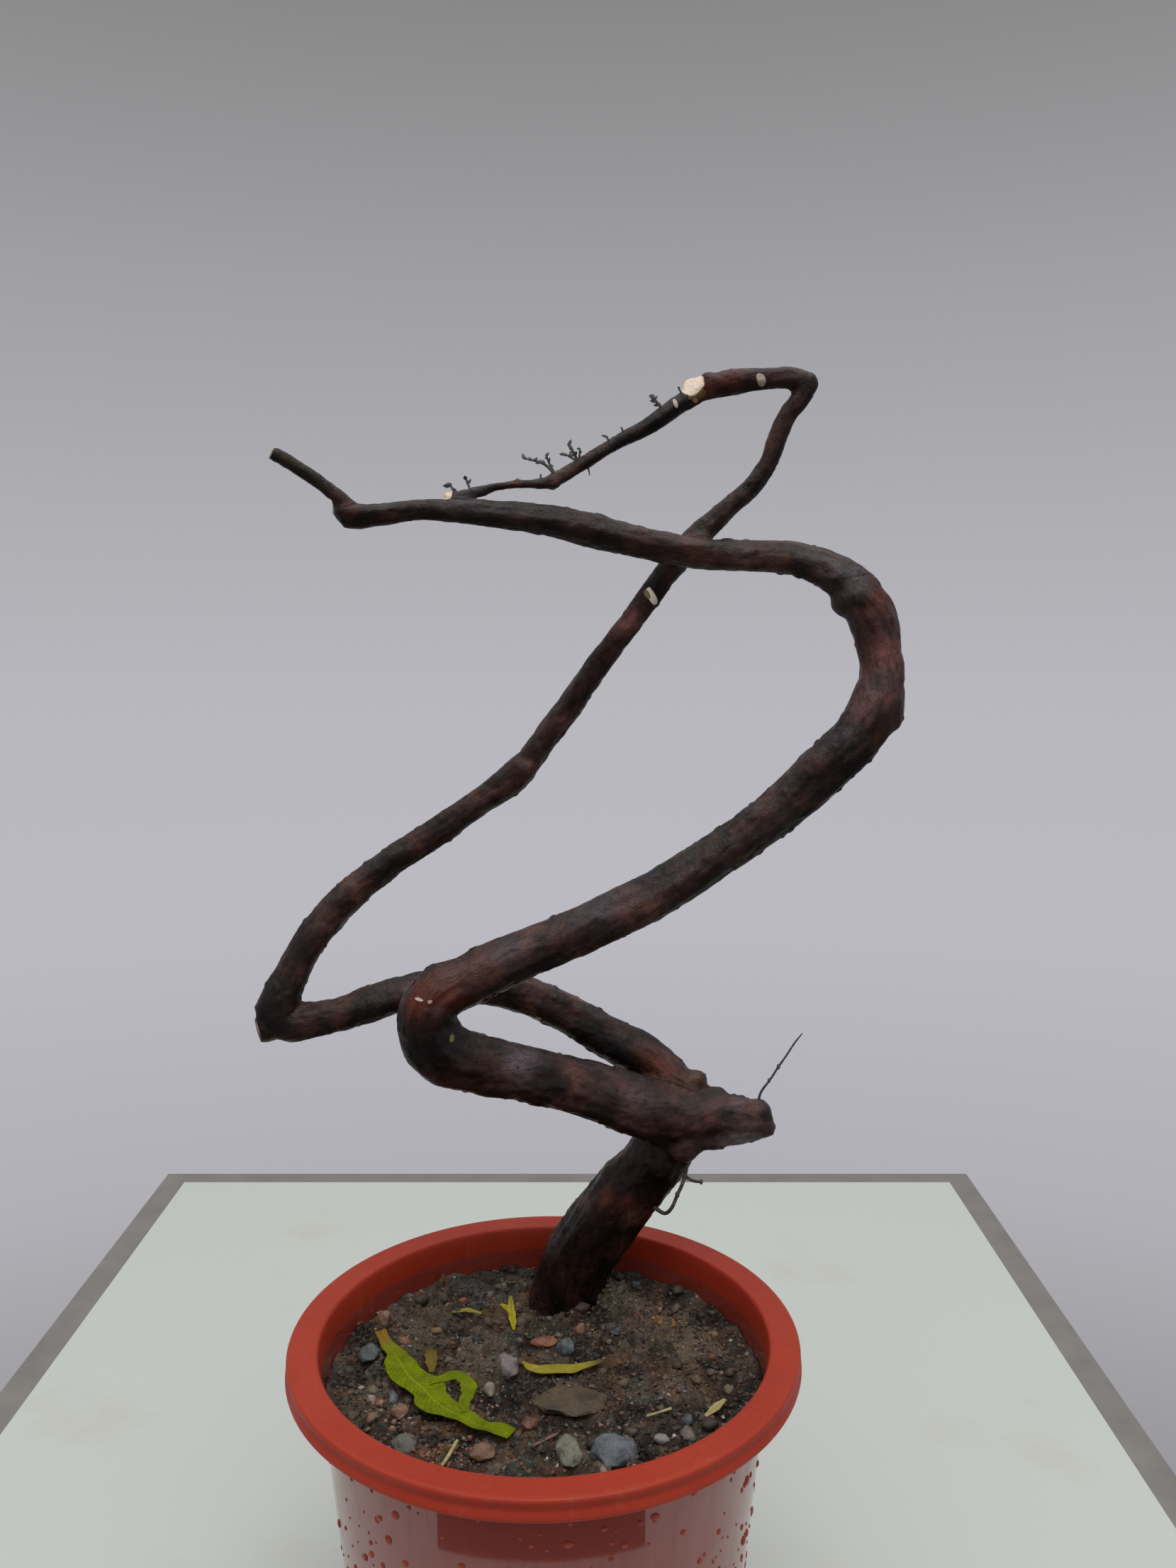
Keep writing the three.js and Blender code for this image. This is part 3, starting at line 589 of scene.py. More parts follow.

# Tints of the bark: [x, y, z, reach, colour, strength]. WET darkens them all, as water does. Most are the
# bark's own colours; the pitch and soot ones are partly painted shade, the lilac and mauve ones painted
# sheen and the ash ones painted reflection.
WET = 0.69
PATCHES = [
    [4, 46, 150, 20, PITCH, 0.8], [12, 44, 168, 12, PITCH, 0.8], [16, 44, 180, 8, BROWN, 0.5],
    [4, 53, 172, 9, MOSS_BLACK, 0.8], [28, 42, 196, 9, BROWN, 0.5], [24, 41, 193.2, 2.4, RUST, 0.85],
    [33, 38.4, 191.5, 2.6, BRICK, 0.8], [46, 38, 206, 11, PITCH, 0.9], [54, 38, 215, 6, PITCH, 0.8],
    [40, 40, 196, 7, PITCH, 0.7], [80, 35, 217.5, 5, ASH_REFLECTION, 0.9], [75, 33.5, 219, 4.5, ASH_REFLECTION, 0.8],
    [66, 33, 213, 4, STONE, 0.6], [87.5, 37, 231, 4, BROWN, 0.85], [89, 38, 227, 4, SOOT, 0.85],
    [87.5, 36.5, 223.5, 3.5, RED_BROWN, 0.85], [75, 37, 234, 3.5, ROSE, 0.8],
    [68, 37.5, 234.5, 3.5, RUSSET, 0.8], [64.5, 33, 230, 4, RUSSET, 0.75], [71, 33, 231, 3.5, UMBER, 0.8],
    [79, 31, 228, 5, FAWN, 0.6], [57, 31, 224, 5, BROWN, 0.6], [50, 32, 238, 9, MAROON, 0.7],
    [36, 22, 240, 8, LILAC_SHEEN, 0.8], [44, 28, 230, 7, SOOT, 0.7], [20, 16, 242, 6, FAWN, 0.6],
    [18, 15, 236, 5, MOSS_BLACK, 0.6], [46, 44, 247, 6, RUST, 0.75], [40, 45, 251, 5, BRICK, 0.6],
    [59, 45, 242, 4, TAN, 0.6], [26, 43, 253, 9, MOSS_BLACK, 0.9], [12, 41, 262, 8, MOSS_BLACK, 0.7],
    [-2, 40, 273, 9, BROWN, 0.5], [-38, -13, 272, 12, PITCH, 0.95], [-31, -8, 279, 7, PITCH, 0.85],
    [-46, -8, 281, 7, PITCH, 0.8], [-24, -8, 264, 9, SOOT, 0.7], [-7, -1, 263, 7, MAUVE_SHEEN, 0.85],
    [-4, 1, 253, 6, UMBER, 0.7], [-41, -13, 294, 7, OXIDE, 0.9], [-31, -12, 292, 5, OXIDE, 0.8],
    [-31, -11, 299, 6, RUSSET, 0.8], [-45, -11, 288, 5, OXIDE, 0.8], [-22, -8, 303, 6, RUSSET, 0.7],
    [-26, -8, 292, 6, UMBER, 0.7], [-12, -6, 306, 7, LILAC_SHEEN, 0.7], [0, -5, 308, 6, MOSS_BLACK, 0.6],
    [20, -2, 321, 10, LILAC_SHEEN, 0.75], [18, -2, 311, 9, SOOT, 0.7], [55, 1, 336, 11, BROWN, 0.5],
    [60, 2, 330, 8, SOOT, 0.6], [84, 2, 357, 8, FAWN, 0.5], [104, -1, 376, 7, SOOT, 0.7],
    [112, -1, 372, 8, PITCH, 0.85], [108, -2, 384, 5, LILAC_SHEEN, 0.7], [112, -1, 393, 5, ROSE, 0.75],
    [122, -3, 391, 5, SOOT, 0.8], [119, -3, 398, 3, RUSSET, 0.6], [119, -3.5, 410, 8, PINK, 0.8],
    [117, -3.5, 399, 8, ROSE, 0.6], [118, -4, 404, 5, STONE, 0.75], [118, -4, 414, 4, PINK, 0.8],
    [112, -2, 410, 5, OLIVE, 0.7], [121, -3, 424, 6, MAROON, 0.7], [118, -3, 431, 4, OXIDE, 0.7],
    [113, -1, 437, 4, OLIVE, 0.6], [110, -2, 439, 4, LILAC_SHEEN, 0.8], [101, -1, 443, 6, LILAC_SHEEN, 0.8],
    [95, 1, 446, 6, FAWN, 0.7], [103, -2, 430, 4.5, UMBER, 0.9], [91, 3, 442, 5, SOOT, 0.7],
    [105.7, -2.6, 438.6, 2, UMBER, 0.9], [117.3, -3.8, 410, 4, PINK, 0.85],
    [121.3, -3.9, 396.3, 2, RUSSET, 0.7], [108, -3.6, 434.5, 3.5, STONE, 0.8], [98, 0, 436.5, 4, FAWN, 0.8],
    [107, 1.9, 424.5, 4, STONE, 0.7], [80, 3, 447, 8, BROWN, 0.6], [70, 5, 449, 6, LILAC_SHEEN, 0.6],
    [56, 8, 450, 6, RED_BROWN, 0.6], [40, 6, 448, 9, UMBER, 0.7], [24, 6, 454, 10, UMBER, 0.7],
    [4, 5, 458, 14, SOOT, 0.85], [-20, 4, 460, 14, SOOT, 0.9], [-42, 3, 461, 14, SOOT, 0.9],
    [-60, 2, 459, 8, PITCH, 0.9], [-66, 1, 462, 3, OXIDE, 0.6], [-76, 0, 470, 6, OLIVE, 0.95],
    [-86, -3, 477, 6, OLIVE, 0.95], [-91.5, -4, 480, 3, PITCH, 0.9], [-105, 26, 268, 9, PITCH, 0.9],
    [-101, 26, 283, 9, SOOT, 0.9], [-93, 30, 300, 8, SOOT, 0.85], [-85, 32, 310, 8, BROWN, 0.5],
    [-60, 34, 331, 12, UMBER, 0.6], [-34, 35, 349, 10, BROWN, 0.5], [-10, 34, 366, 6, RED_BROWN, 0.6],
    [4, 32, 386, 6, BROWN, 0.5], [31, 22, 422.5, 4.5, PINK, 0.9], [36, 20, 428.5, 3, MAROON, 0.7],
    [14, 29, 402, 5, BROWN, 0.5], [42, 19, 438, 4, UMBER, 0.6], [66, 16, 508, 5, BRICK, 0.8],
    [58, 15, 502.5, 3.6, BRICK, 0.8], [84, 17, 509, 7, MAROON, 0.75], [64, 16, 511, 2.6, OLIVE, 0.7],
    [72, 16, 511.5, 2.6, FAWN, 0.7], [66, 16, 503, 3.5, SOOT, 0.8], [47, 15, 500, 5, PITCH, 0.95],
    [38, 14, 493, 6, PITCH, 0.9], [40, 15, 497.5, 2, OLIVE, 0.8], [27, 14, 486, 6, SOOT, 0.8],
    [-9.1, 12.5, 472.6, 1.8, RUST, 0.9], [-12, 11, 470.6, 3, RED_BROWN, 0.6],
    [3, 13, 473, 4, RED_BROWN, 0.5], [-26, 9, 468, 6, LILAC_SHEEN, 0.85], [88, 17, 494, 6, UMBER, 0.6],
    [85.5, 16.6, 490, 9, SOOT, 0.55], [80, 17, 479, 6, SOOT, 0.5], [95.5, 18, 509.6, 5, FAWN, 0.6],
]

# Fresh wood where bark is off, after a dark line of painted shade in the groove round the top bend: place,
# size, turn, colour. Later ones lie over earlier ones.
BARE_WOOD_AND_GROOVE_SHADE = [
    # Painted shade: a dark line in the groove round the top bend.
    ([107.8, -1, 438.3], [6.8, 6, 0.5], -0.17, 0x191311),
    ([54.8, 15.2, 502.5], [3.5, 4, 1.7], -0.35, 0x6A5630),
    ([53.2, 16, 505.9], [4.3, 7, 3.4], -0.6, 0xF4DEC8),
    ([77.4, 16.1, 507.7], [1.6, 5, 2.3], -0.45, 0xB8AC9C),
    ([39.4, 19, 431.8], [1.3, 4, 3.7], -0.5, 0xFFF0DC), ([37.6, 19, 432.8], [0.8, 4, 1.8], -0.5, 0x8A7C58),
    ([47, 14.2, 499.4], [0.7, 3, 1.7], -0.35, 0xBCA89A),
    ([54.1, 15.5, 500.6], [1.1, 2, 0.8], 0.3, 0xAE8A6C), ([-34, 11.4, 467.4], [2.2, 4, 2.4], 0.0, 0xF0DEC2),
    ([59, 45, 242.4], [1.7, 2, 1.2], 0.4, 0xC3A878), ([-43.2, -13.2, 290.9], [1.6, 3, 0.5], 0.1, 0xC8B4A4),
    ([-39.4, -14, 290.4], [0.9, 3, 0.7], -0.5, 0xB89C88), ([-4.2, 39, 266.8], [2, 3, 1], -0.5, 0xB8AE90),
    ([-32.1, -10.8, 276], [0.9, 3, 1.5], 0.2, 0x6C6A2C),
    ([-111.8, 27.4, 267.2], [2.6, 4, 3], 0.3, 0x9A5B38),
    ([-92.6, -4.6, 480.4], [1.6, 3, 2.6], 0.5, 0x9C8F66), ([-73.4, 2, 459.6], [1.3, 4, 3.6], 0.0, 0xA39C86),
]


def bark_finish():
    bark = Finish("wet_bark")
    limb = bark.attribute("limb")
    furrows = bark.noise(430.0, 4.0, 0.62, 0.6, bark.stretched(limb, 0.3))
    threads = bark.noise(1100.0, 3.0, 0.6, 0.3, bark.stretched(limb, 0.18))
    blotch = bark.noise(58.0, 4.0, 0.6)
    stain = bark.noise(170.0, 5.0, 0.65, 0.6)
    fleck = bark.noise(560.0, 4.0, 0.7)
    colour = bark.ramp(blotch, (0.36, 0x140F0E), (0.47, 0x261815), (0.56, 0x3F2822), (0.68, 0x5A3A31))
    colour = bark.mix(bark.window(stain, 0.54, 0.70, 0.0, 0.4), colour, 0x54301F)
    # The tints from the skin, with their painted shade, sheen and reflection, laid on and broken a little by
    # flecks.
    share = bark.math("MULTIPLY", bark.attribute("tone", "Alpha"), bark.window(fleck, 0.25, 0.6, 0.6))
    colour = bark.mix(share, colour, bark.attribute("tone", "Color"))
    streak = bark.ramp(
        furrows, (0.34, (0.45, 0.41, 0.40, 1)), (0.50, (1, 1, 1, 1)), (0.70, (1.4, 1.3, 1.26, 1))
    )
    colour = bark.mix(0.9, colour, streak, "MULTIPLY")
    colour = bark.mix(bark.window(threads, 0.62, 0.76, 0.0, 0.14), colour, 0x76564E)
    colour = bark.mix(bark.window(fleck, 0.62, 0.74, 0.0, 0.30), colour, 0x7A4434)
    colour = bark.mix(bark.window(fleck, 0.42, 0.30, 0.0, 0.7), colour, 0x0B0808)
    wobble = bark.math("MULTIPLY", bark.math("SUBTRACT", stain, 0.5), 0.9)
    for place, size, turn, mark_colour in BARE_WOOD_AND_GROOVE_SHADE:
        colour = bark.mix(bark.spot(place, size, turn, 0.10, wobble), colour, mark_colour)
    # Painted shade: the colour darkens on faces that point down, to 0.55 of itself on the undersides.
    upward = bark.split(bark.add("TexCoord").outputs["Normal"])[2]
    colour = bark.mix(1.0, colour, bark.window(upward, -0.8, 0.2, 0.55), "MULTIPLY")
    dull = bark.window(bark.spot((5, 50, 160), (60, 60, 50), 0.0, 0.4), 0.0, 1.0, 1.0, 0.5)
    fine = bark.bump(furrows, 0.0007, 0.7, bark.bump(threads, 0.0003, 0.4))
    return bark.done(
        Base_Color=colour,
        Roughness=bark.window(stain, 0.32, 0.66, 0.22, 0.48),
        Specular_IOR_Level=bark.math("MULTIPLY", bark.window(upward, -0.3, 0.7, 0.1, 0.32), dull),
        Normal=bark.bump(fleck, 0.0008, 0.75, fine),
    )


# Sprouts on the thin tip. Each is the stalk's route, its thickness, how many leaflets it has and their size.
SPROUTS = [
    ([[4.3, 15.5, 475], [0.6, 14, 478.3], [-2.9, 13.5, 479.5], [-6.7, 13, 480.3]], 0.55, 9, 1.2),
    ([[4, 15.5, 475.5], [2.4, 14.5, 478.5], [1.3, 14, 481.3]], 0.5, 4, 1.1),
    ([[12.9, 16.5, 479], [11, 15.6, 482.4], [9.4, 15, 485.4]], 0.6, 5, 1.25),
    ([[12.5, 16.5, 479], [10, 15.6, 481], [7.6, 15, 482]], 0.5, 4, 1.2),
    ([[13, 16.5, 480], [13.2, 16, 484]], 0.45, 2, 1.0),
    ([[24.5, 17, 486], [22.2, 16.5, 488.4]], 0.45, 2, 0.9),
    ([[28.8, 17, 489.5], [28, 16.5, 491.4]], 0.4, 1, 0.8),
    ([[43, 17, 496], [41, 16, 499.5], [38, 15, 502]], 0.5, 7, 1.4),
    ([[49.5, 17, 503], [48, 16, 505.2]], 0.35, 2, 0.8),
    ([[-25.5, 12.5, 469], [-27.3, 12.5, 473]], 0.5, 2, 1.3),
    ([[-30.1, 12, 467.5], [-32.8, 11.6, 470.8]], 0.6, 2, 1.9),
    ([[-0.7, 14, 472.5], [-0.7, 14, 474.9]], 0.45, 0, 1.0),
]


LEAFLET = Vector((0.48, 0.3, 1.0))
LEAFLET_LEANS = ((-1, 0.7), (-0.8, 0.5), (-0.2, 1.2))


def leaflet(shape, place, lean, size):
    """A folded leaflet as a pointed drop that leans the way given."""
    for vert in ball(shape, place, LEAFLET * size, 2, UP.rotation_difference(lean)):
        reach = (vert.co / MM - place).dot(lean) / size
        middle = (place + lean * reach * size) * MM
        vert.co = middle + (vert.co - middle) * (1.15 - 0.75 * max(0.0, reach))


def sprouts():
    """Tiny stalks with folded leaflets all along them."""
    shape = bmesh.new()
    chance = random.Random(11)
    for route, thick, leaves, size in SPROUTS:
        count = len(route) - 1
        stalk = [[*station, thick * (1 - 0.3 * i / count)] for i, station in enumerate(route)]
        shape.from_mesh(limb_tube(stalk, 0.8, 1))
        for i in range(leaves):
            reach = count * (1 - 0.75 * i / leaves)
            part = min(count - 1, int(reach))
            place = Vector(route[part]).lerp(Vector(route[part + 1]), reach - part)
            lean = Vector([chance.uniform(*span) for span in LEAFLET_LEANS]).normalized()
            leaflet(shape, place + lean * 0.6 * size, lean, size * chance.uniform(0.75, 1.15))
    return mesh_of(shape, "sprouts")


def fine_twigs():
    shape = bmesh.new()
    for route in (DRY_TWIG, ROOTLET, SHORT_ROOTLET, HAIR):
        shape.from_mesh(limb_tube(route, 1.0, 2))
    for *place, reach in TWIG_BUDS:
        ball(shape, place, Vector((0.8, 0.8, 1.2)) * reach, 2)
    return mesh_of(shape, "fine_twigs")


# The pot. Its profile is [radius, height], from the middle of the underside out, up and over the rim.
POT_HEIGHT = 160
NECK_RADIUS = 84
WALL_SLOPE = 0.1
WALL = 2
UPPER_WALL = 1.2
FLOOR_TOP = 6
DRAIN_RADIUS = 4
DRAIN_CIRCLE = 40
DRAINS = 5
DRAIN_TURN = 0.3
DRILL_LENGTH = 20
DRILL_MIDDLE = 4
DRILL_SIDES = 28
POT_STEPS = 160


def wall_radius(z):
    return NECK_RADIUS - WALL_SLOPE * (POT_HEIGHT - z)


def rounded(points, steps):
    """A smooth run through [radius, height] points."""
    route = [[r, 0, z, 0] for r, z in points]
    lengths = sum(math.dist(a, b) for a, b in zip(points, points[1:]))
    _, stations = follow(route, lengths / (steps * len(points)))
    return [[s[0], s[2]] for s in stations]


def pot_profile():
    foot = [[0, 0], [20, 0], [21, 0.6], [21.6, 2.6], [22.6, 3], [55.4, 3], [56.4, 2.6], [57, 0.6], [58, 0]]
    heel = [[66, 0], [67.2, 0.25], [wall_radius(2.2), 2.2], [wall_radius(5), 5]]
    wall = [[wall_radius(z), z] for z in (12, 25, 40, 55, 70, 85, 100, 115, 130, 140, 146)]
    neck = [[wall_radius(149), 149], [wall_radius(151) + 0.3, 151.2], [wall_radius(152) + 2, 152]]
    rim = [
        [93, 152], [94.5, 152.35], [94.95, 153.3], [94.55, 154.6], [93.9, 156], [94.2, 157.6], [94.5, 158.6],
        [94.1, 159.5], [92.9, 159.95], [91.4, 160],
    ]
    top = [[88, 159.9], [85.7, 159.95]]
    lip = [[84.6, 160], [83.8, 159.8], [83.2, 159.1], [82.7, 157.5]]
    inside = [[wall_radius(z) - UPPER_WALL, z] for z in (154, 148, 142, 136, 128)]
    inside += [[wall_radius(z) - WALL, z] for z in (118, 100, 75, 50, 25, 10)]
    base = [[wall_radius(7) - 3, FLOOR_TOP + 0.6], [63.5, FLOOR_TOP], [40, FLOOR_TOP], [0, FLOOR_TOP]]
    outside = foot + rounded(heel, 3) + wall + rounded(neck, 3) + rounded(rim, 4)
    return outside + top + rounded(lip, 3) + inside + base


def pot_body():
    body = mesh_of(spun([(r * MM, 0, z * MM) for r, z in pot_profile()], POT_STEPS, 2 * math.pi), "pot")
    drills = bmesh.new()
    for i in range(DRAINS):
        turn = 2 * math.pi * i / DRAINS + DRAIN_TURN
        place = (DRAIN_CIRCLE * math.cos(turn), DRAIN_CIRCLE * math.sin(turn), DRILL_MIDDLE)
        at = spread(place, None, (DRAIN_RADIUS, DRAIN_RADIUS, DRILL_LENGTH))
        bmesh.ops.create_cone(
            drills, cap_ends=True, segments=DRILL_SIDES, radius1=1, radius2=1, depth=1, matrix=at
        )
    cutter = placed("drills", mesh_of(drills, "drills"))
    body = with_modifier(body, "BOOLEAN", operation="DIFFERENCE", solver="EXACT", object=cutter)
    bpy.data.objects.remove(cutter)
    body.shade_smooth()
    return body


def pot_finish():
    pot = Finish("wet_red_plastic", Coat_Roughness=0.05, Coat_IOR=1.7, Specular_IOR_Level=0.25)
    side = pot.window(pot.split(pot.place)[2], 0.1495, 0.1515, 1.0, 0.0)
    cloud = pot.noise(18.0, 3.0)
    film_and_haze_streaks = pot.noise(300.0, 4.0, 0.6, 0.0, pot.stretched(pot.place, 0.05))
    rim = pot.ramp(cloud, (0.3, 0x9C2E1A), (0.7, 0xA6361E))
    wall = pot.ramp(cloud, (0.3, 0x802A20), (0.7, 0x8A3026))
    # Painted reflection: pale vertical streaks on the wall, a film of water with the haze of light it
    # reflects painted in as a paler colour.
    colour = pot.mix(pot.window(film_and_haze_streaks, 0.55, 0.75, 0.0, 0.2), pot.mix(side, rim, wall), 0xA85A48)
    grime = pot.window(pot.noise(120.0, 5.0, 0.7), 0.58, 0.72, 0.0, 0.25)
    return pot.done(
        Base_Color=pot.mix(grime, colour, 0x6A241A),
        Coat_Weight=pot.math("MULTIPLY", side, pot.window(film_and_haze_streaks, 0.25, 0.5, 0.75)),
        Roughness=pot.window(pot.noise(60.0, 4.0), 0.3, 0.7, 0.36, 0.5),
        Normal=pot.bump(pot.noise(700.0, 3.0), 0.0002, 0.25),
    )


BEADS = 1100
BEAD_HEIGHTS = (4, 149)


def water_beads():
    """Beads of water on the outside of the wall."""
    chance = random.Random(5)
    makers = []
    for _ in range(BEADS):
        turn = chance.uniform(0, 2 * math.pi)
        z = chance.uniform(*BEAD_HEIGHTS)
        size = 0.5 + 1.3 * chance.random() ** 2.5
        long = size * chance.uniform(0.9, 1.6)
        across, away = math.cos(turn), math.sin(turn)
        out = Vector((across, away, -WALL_SLOPE)).normalized()
        place = (wall_radius(z) * across, wall_radius(z) * away, z)
        at = spread(place, UP.rotation_difference(out), (long, size, 0.5 * size))
        makers.append(partial(bmesh.ops.create_uvsphere, u_segments=8, v_segments=6, radius=1.0, matrix=at))
    return gathered(makers, "water_beads")


# Soil. Slow mounds are [x, y, height, reach], as in the part's source. The body goes down by levels, each
# with its gap to the wall. Stones have a dark tone, a light tone and the slot of their solid.
SOIL_TOP = 140
SOIL_EDGE = 80.9
SOIL_BOTTOM = 6.5
SOIL_LEVELS = ((100, 0.5), (50, 0.5), (SOIL_BOTTOM, 2.9))
SOIL_GRID = 240
EDGE_RISE = 3.6
EDGE_WIDTH = 12
CLOD = 8.5
TRUNK_FOOT = (7, 60)
FOOT_REACH = 14
MOUNDS = [
    [44, 16, 4, 20], [62, 44, 3, 16], [-32, 52, 2.5, 20], [24, 34, 2, 12], [-62, 22, 1.5, 14],
    [10, -50, -1, 24], [-20, -8, -1, 18], [27, 56, 5, 10],
]
STONE_TONES = {
    "stone_red_chip": (0x6E3E2C, 0x9C6A52, "red_stone"),
    "stone_blue_pebble": (0x485458, 0x768280, "grey_stone"),
    "stone_grey_chip": (0x5C5452, 0x8A807C, "grey_stone"), "stone_pale": (0x6A6252, 0x9A9080, "pale_stone"),
    "stone_flat_brown": (0x3A2F20, 0x5E4E36, "brown_stone"),
    "stone_green": (0x545444, 0x868672, "grey_stone"),
    "stone_blue_grey": (0x3C4146, 0x70747A, "grey_stone"),
    "stone_left_grey": (0x4C4C44, 0x6E6C60, "grey_stone"),
    "stone_orange_front": (0x543A2A, 0x8A6850, "brown_stone"),
    "stone_orange_left": (0x66483A, 0x9A7660, "brown_stone"),
    "stone_orange_mid": (0x5E3E2E, 0x946A54, "brown_stone"),
    "stone_tan_tip": (0x6C5240, 0x9E7E66, "pale_stone"),
    "stone_left_dark": (0x3A3E40, 0x62686A, "grey_stone"),
    "stone_orange_right": (0x6A4422, 0x96683A, "brown_stone"),
    "stone_tan_trunk": (0x5A4032, 0x8E6A54, "pale_stone"),
}


def stone_bed(name):
    """Where a loose stone lies: its middle, half width, underside and height, in millimetres."""
    low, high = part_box(name)
    middle = (low + high) / 2 / MM
    return middle.x, middle.y, (high - low).xy.length / 4 / MM, low.z / MM, (high - low).z / MM


BEDS = [stone_bed(name) for name in STONE_TONES]


def clods(x, y):
    """Lumps of earth as cells: how far each place is inside its cell, and a number that is the cell's."""
    x, y = np.broadcast_arrays(np.asarray(x, float) / CLOD, np.asarray(y, float) / CLOD)
    i, j = np.floor(x), np.floor(y)
    gaps, names = [], []
    for di in (-1, 0, 1):
        for dj in (-1, 0, 1):
            ci, cj = i + di, j + dj
            gaps.append(np.hypot(ci + lattice(ci, cj, 1) - x, cj + lattice(ci, cj, 2) - y))
            names.append(lattice(ci, cj, 3))
    gaps, names = np.array(gaps), np.array(names)
    order = np.argsort(gaps, axis=0)
    first, second = [np.take_along_axis(gaps, order[rank : rank + 1], 0)[0] for rank in (0, 1)]
    return second - first, np.take_along_axis(names, order[:1], 0)[0]


def soil_height(x, y):
    x, y = np.asarray(x, float), np.asarray(y, float)
    height = SOIL_TOP + 0 * x
    for mx, my, rise, reach in MOUNDS:
        height = height + rise * np.exp(-((x - mx) ** 2 + (y - my) ** 2) / (reach * reach))
    height = height + 0.9 * value_noise(x / 14 + 3, y / 14 + 9, 3) + 1.5 * value_noise(x / 5.3, y / 5.3, 4)
    edge = smooth((np.hypot(x, y) - SOIL_EDGE + EDGE_WIDTH) / EDGE_WIDTH)
    height = height + EDGE_RISE * edge * (0.8 + 0.3 * value_noise(x / 6, y / 6, 12))
    for bx, by, half, underside, tall in BEDS:
        near = smooth((half * 1.9 - np.hypot(x - bx, y - by)) / (half * 1.2))
        bed = underside + 0.22 * tall
        height = np.where(near > 0, height * (1 - near) + np.maximum(height, bed) * near, height)
    return height


# Earth: the tones of clods, and large patches as [x, y, reach across, reach away, lift, tone, strength]. The
# near-black patches that sink the soil are painted shade. The number of a clod, from nothing to one, is
# spread out to pick its tone.
EARTH_TONES = (0x211B18, 0x2E2722, 0x463C32, 0x5E5142, 0x523F31, 0x6E6050, 0x42433A, 0x6A5038)
TONE_SPREAD = 7919
EARTH_PATCHES = [
    [-50, 36, 12, 20, 0.3, 0x706351, 0.85], [-24, 16, 11, 16, 0.8, 0x766856, 0.9],
    [-66, -15, 8, 11, 0.3, 0x625744, 0.8], [29.5, 52, 8, 12, 0.5, 0x6C6450, 0.85],
    [42, 37, 11, 17, 0.7, 0x7C6658, 0.85], [54, 16, 13, 13, 0.8, 0x786A54, 0.85],
    [43, 9, 8, 7, 0.2, 0x3C372B, 0.8], [35, -7, 5, 8, 0.6, 0x5E5E52, 0.8],
    [46, -9, 5, 7, 0.6, 0x7A6252, 0.8], [65, 14, 6, 5, 0.5, 0x6A5A48, 0.8],
    [56, 2, 6, 6, 0.6, 0x68583F, 0.8], [-28, 62, 14, 8, 0.3, 0x5C5856, 0.7],
    # Near-black rows: painted shade in hollows and crevices, by the wall and under the edge of the green
    # leaf.
    [-10, -14, 8, 12, -1.4, 0x120E0C, 0.9], [31, -22, 7, 7, -1.4, 0x120E0C, 0.9],
    [34.5, -41, 6, 8, -1.8, 0x100C0B, 0.92], [70, 38, 13, 10, -1, 0x110D0B, 0.9],
    [69, 0, 9, 9, -0.6, 0x241C17, 0.7], [-30, -36, 13, 5, -1.2, 0x0B0908, 0.95],
    [-74, 24, 6, 8, -0.4, 0x120E0C, 0.8], [-35, 20, 1.3, 9, -1.6, 0x0C0A09, 0.9],
    [-72, 2, 6, 9, -0.6, 0x17120F, 0.7], [16, 20, 12, 7, -1, 0x1A1512, 0.8],
    [-8, 27, 5, 8, -0.8, 0x1A1512, 0.7], [10, -30, 20, 4, -0.8, 0x2A211A, 0.6],
    [76, -18, 6, 14, -0.6, 0x1C1613, 0.7],
]


def earth_patches(x, y):
    """How strongly each large patch of earth shows at each place."""
    for px, py, across, away, lift, tone, strength in EARTH_PATCHES:
        ragged = 1 + 0.35 * value_noise(x / 3.7 + px, y / 3.7 + py, 31)
        gap = np.hypot((x - px) / across, (y - py) / away) * ragged
        yield smooth((1.15 - gap) / 0.4), lift, tone, strength


def earth_tone(x, y, number):
    """The earth's colour at places, each with the number of its clod, the painted shade of dark patches
    included.
    """
    tones = np.array([paint(tone) for tone in EARTH_TONES])
    tones = tones[(number * TONE_SPREAD).astype(int) % len(EARTH_TONES)]
    for near, _, tone, strength in earth_patches(x, y):
        share = (strength * near)[:, None]
        tones = tones * (1 - share) + np.array(paint(tone)) * share
    return tones


def soil_detail(x, y):
    inside, name = clods(x + 1.5 * value_noise(x / 3, y / 3, 21), y + 1.5 * value_noise(x / 3, y / 3, 22))
    lump = smooth((name - 0.35) / 0.3) * (0.5 + name) * smooth(inside / 0.35)
    fine = 0.45 * value_noise(x / 2.1 + 5, y / 2.1, 6) + 0.3 * value_noise(x / 1.05, y / 1.05 + 7, 8)
    lift = sum(rise * near for near, rise, _, _ in earth_patches(x, y))
    calm = 0 * x
    for route in LEAF_ROUTES:
        for leaf_x, leaf_y, _, half, *_ in route:
            calm = np.maximum(calm, smooth((half + 3 - np.hypot(x - leaf_x, y - leaf_y)) / 2.5))
    return (2.3 * lump + fine + lift - 0.8) * (1 - calm) - 0.6 * calm


def ground(x, y):
    return soil_height(x, y) + soil_detail(x, y)


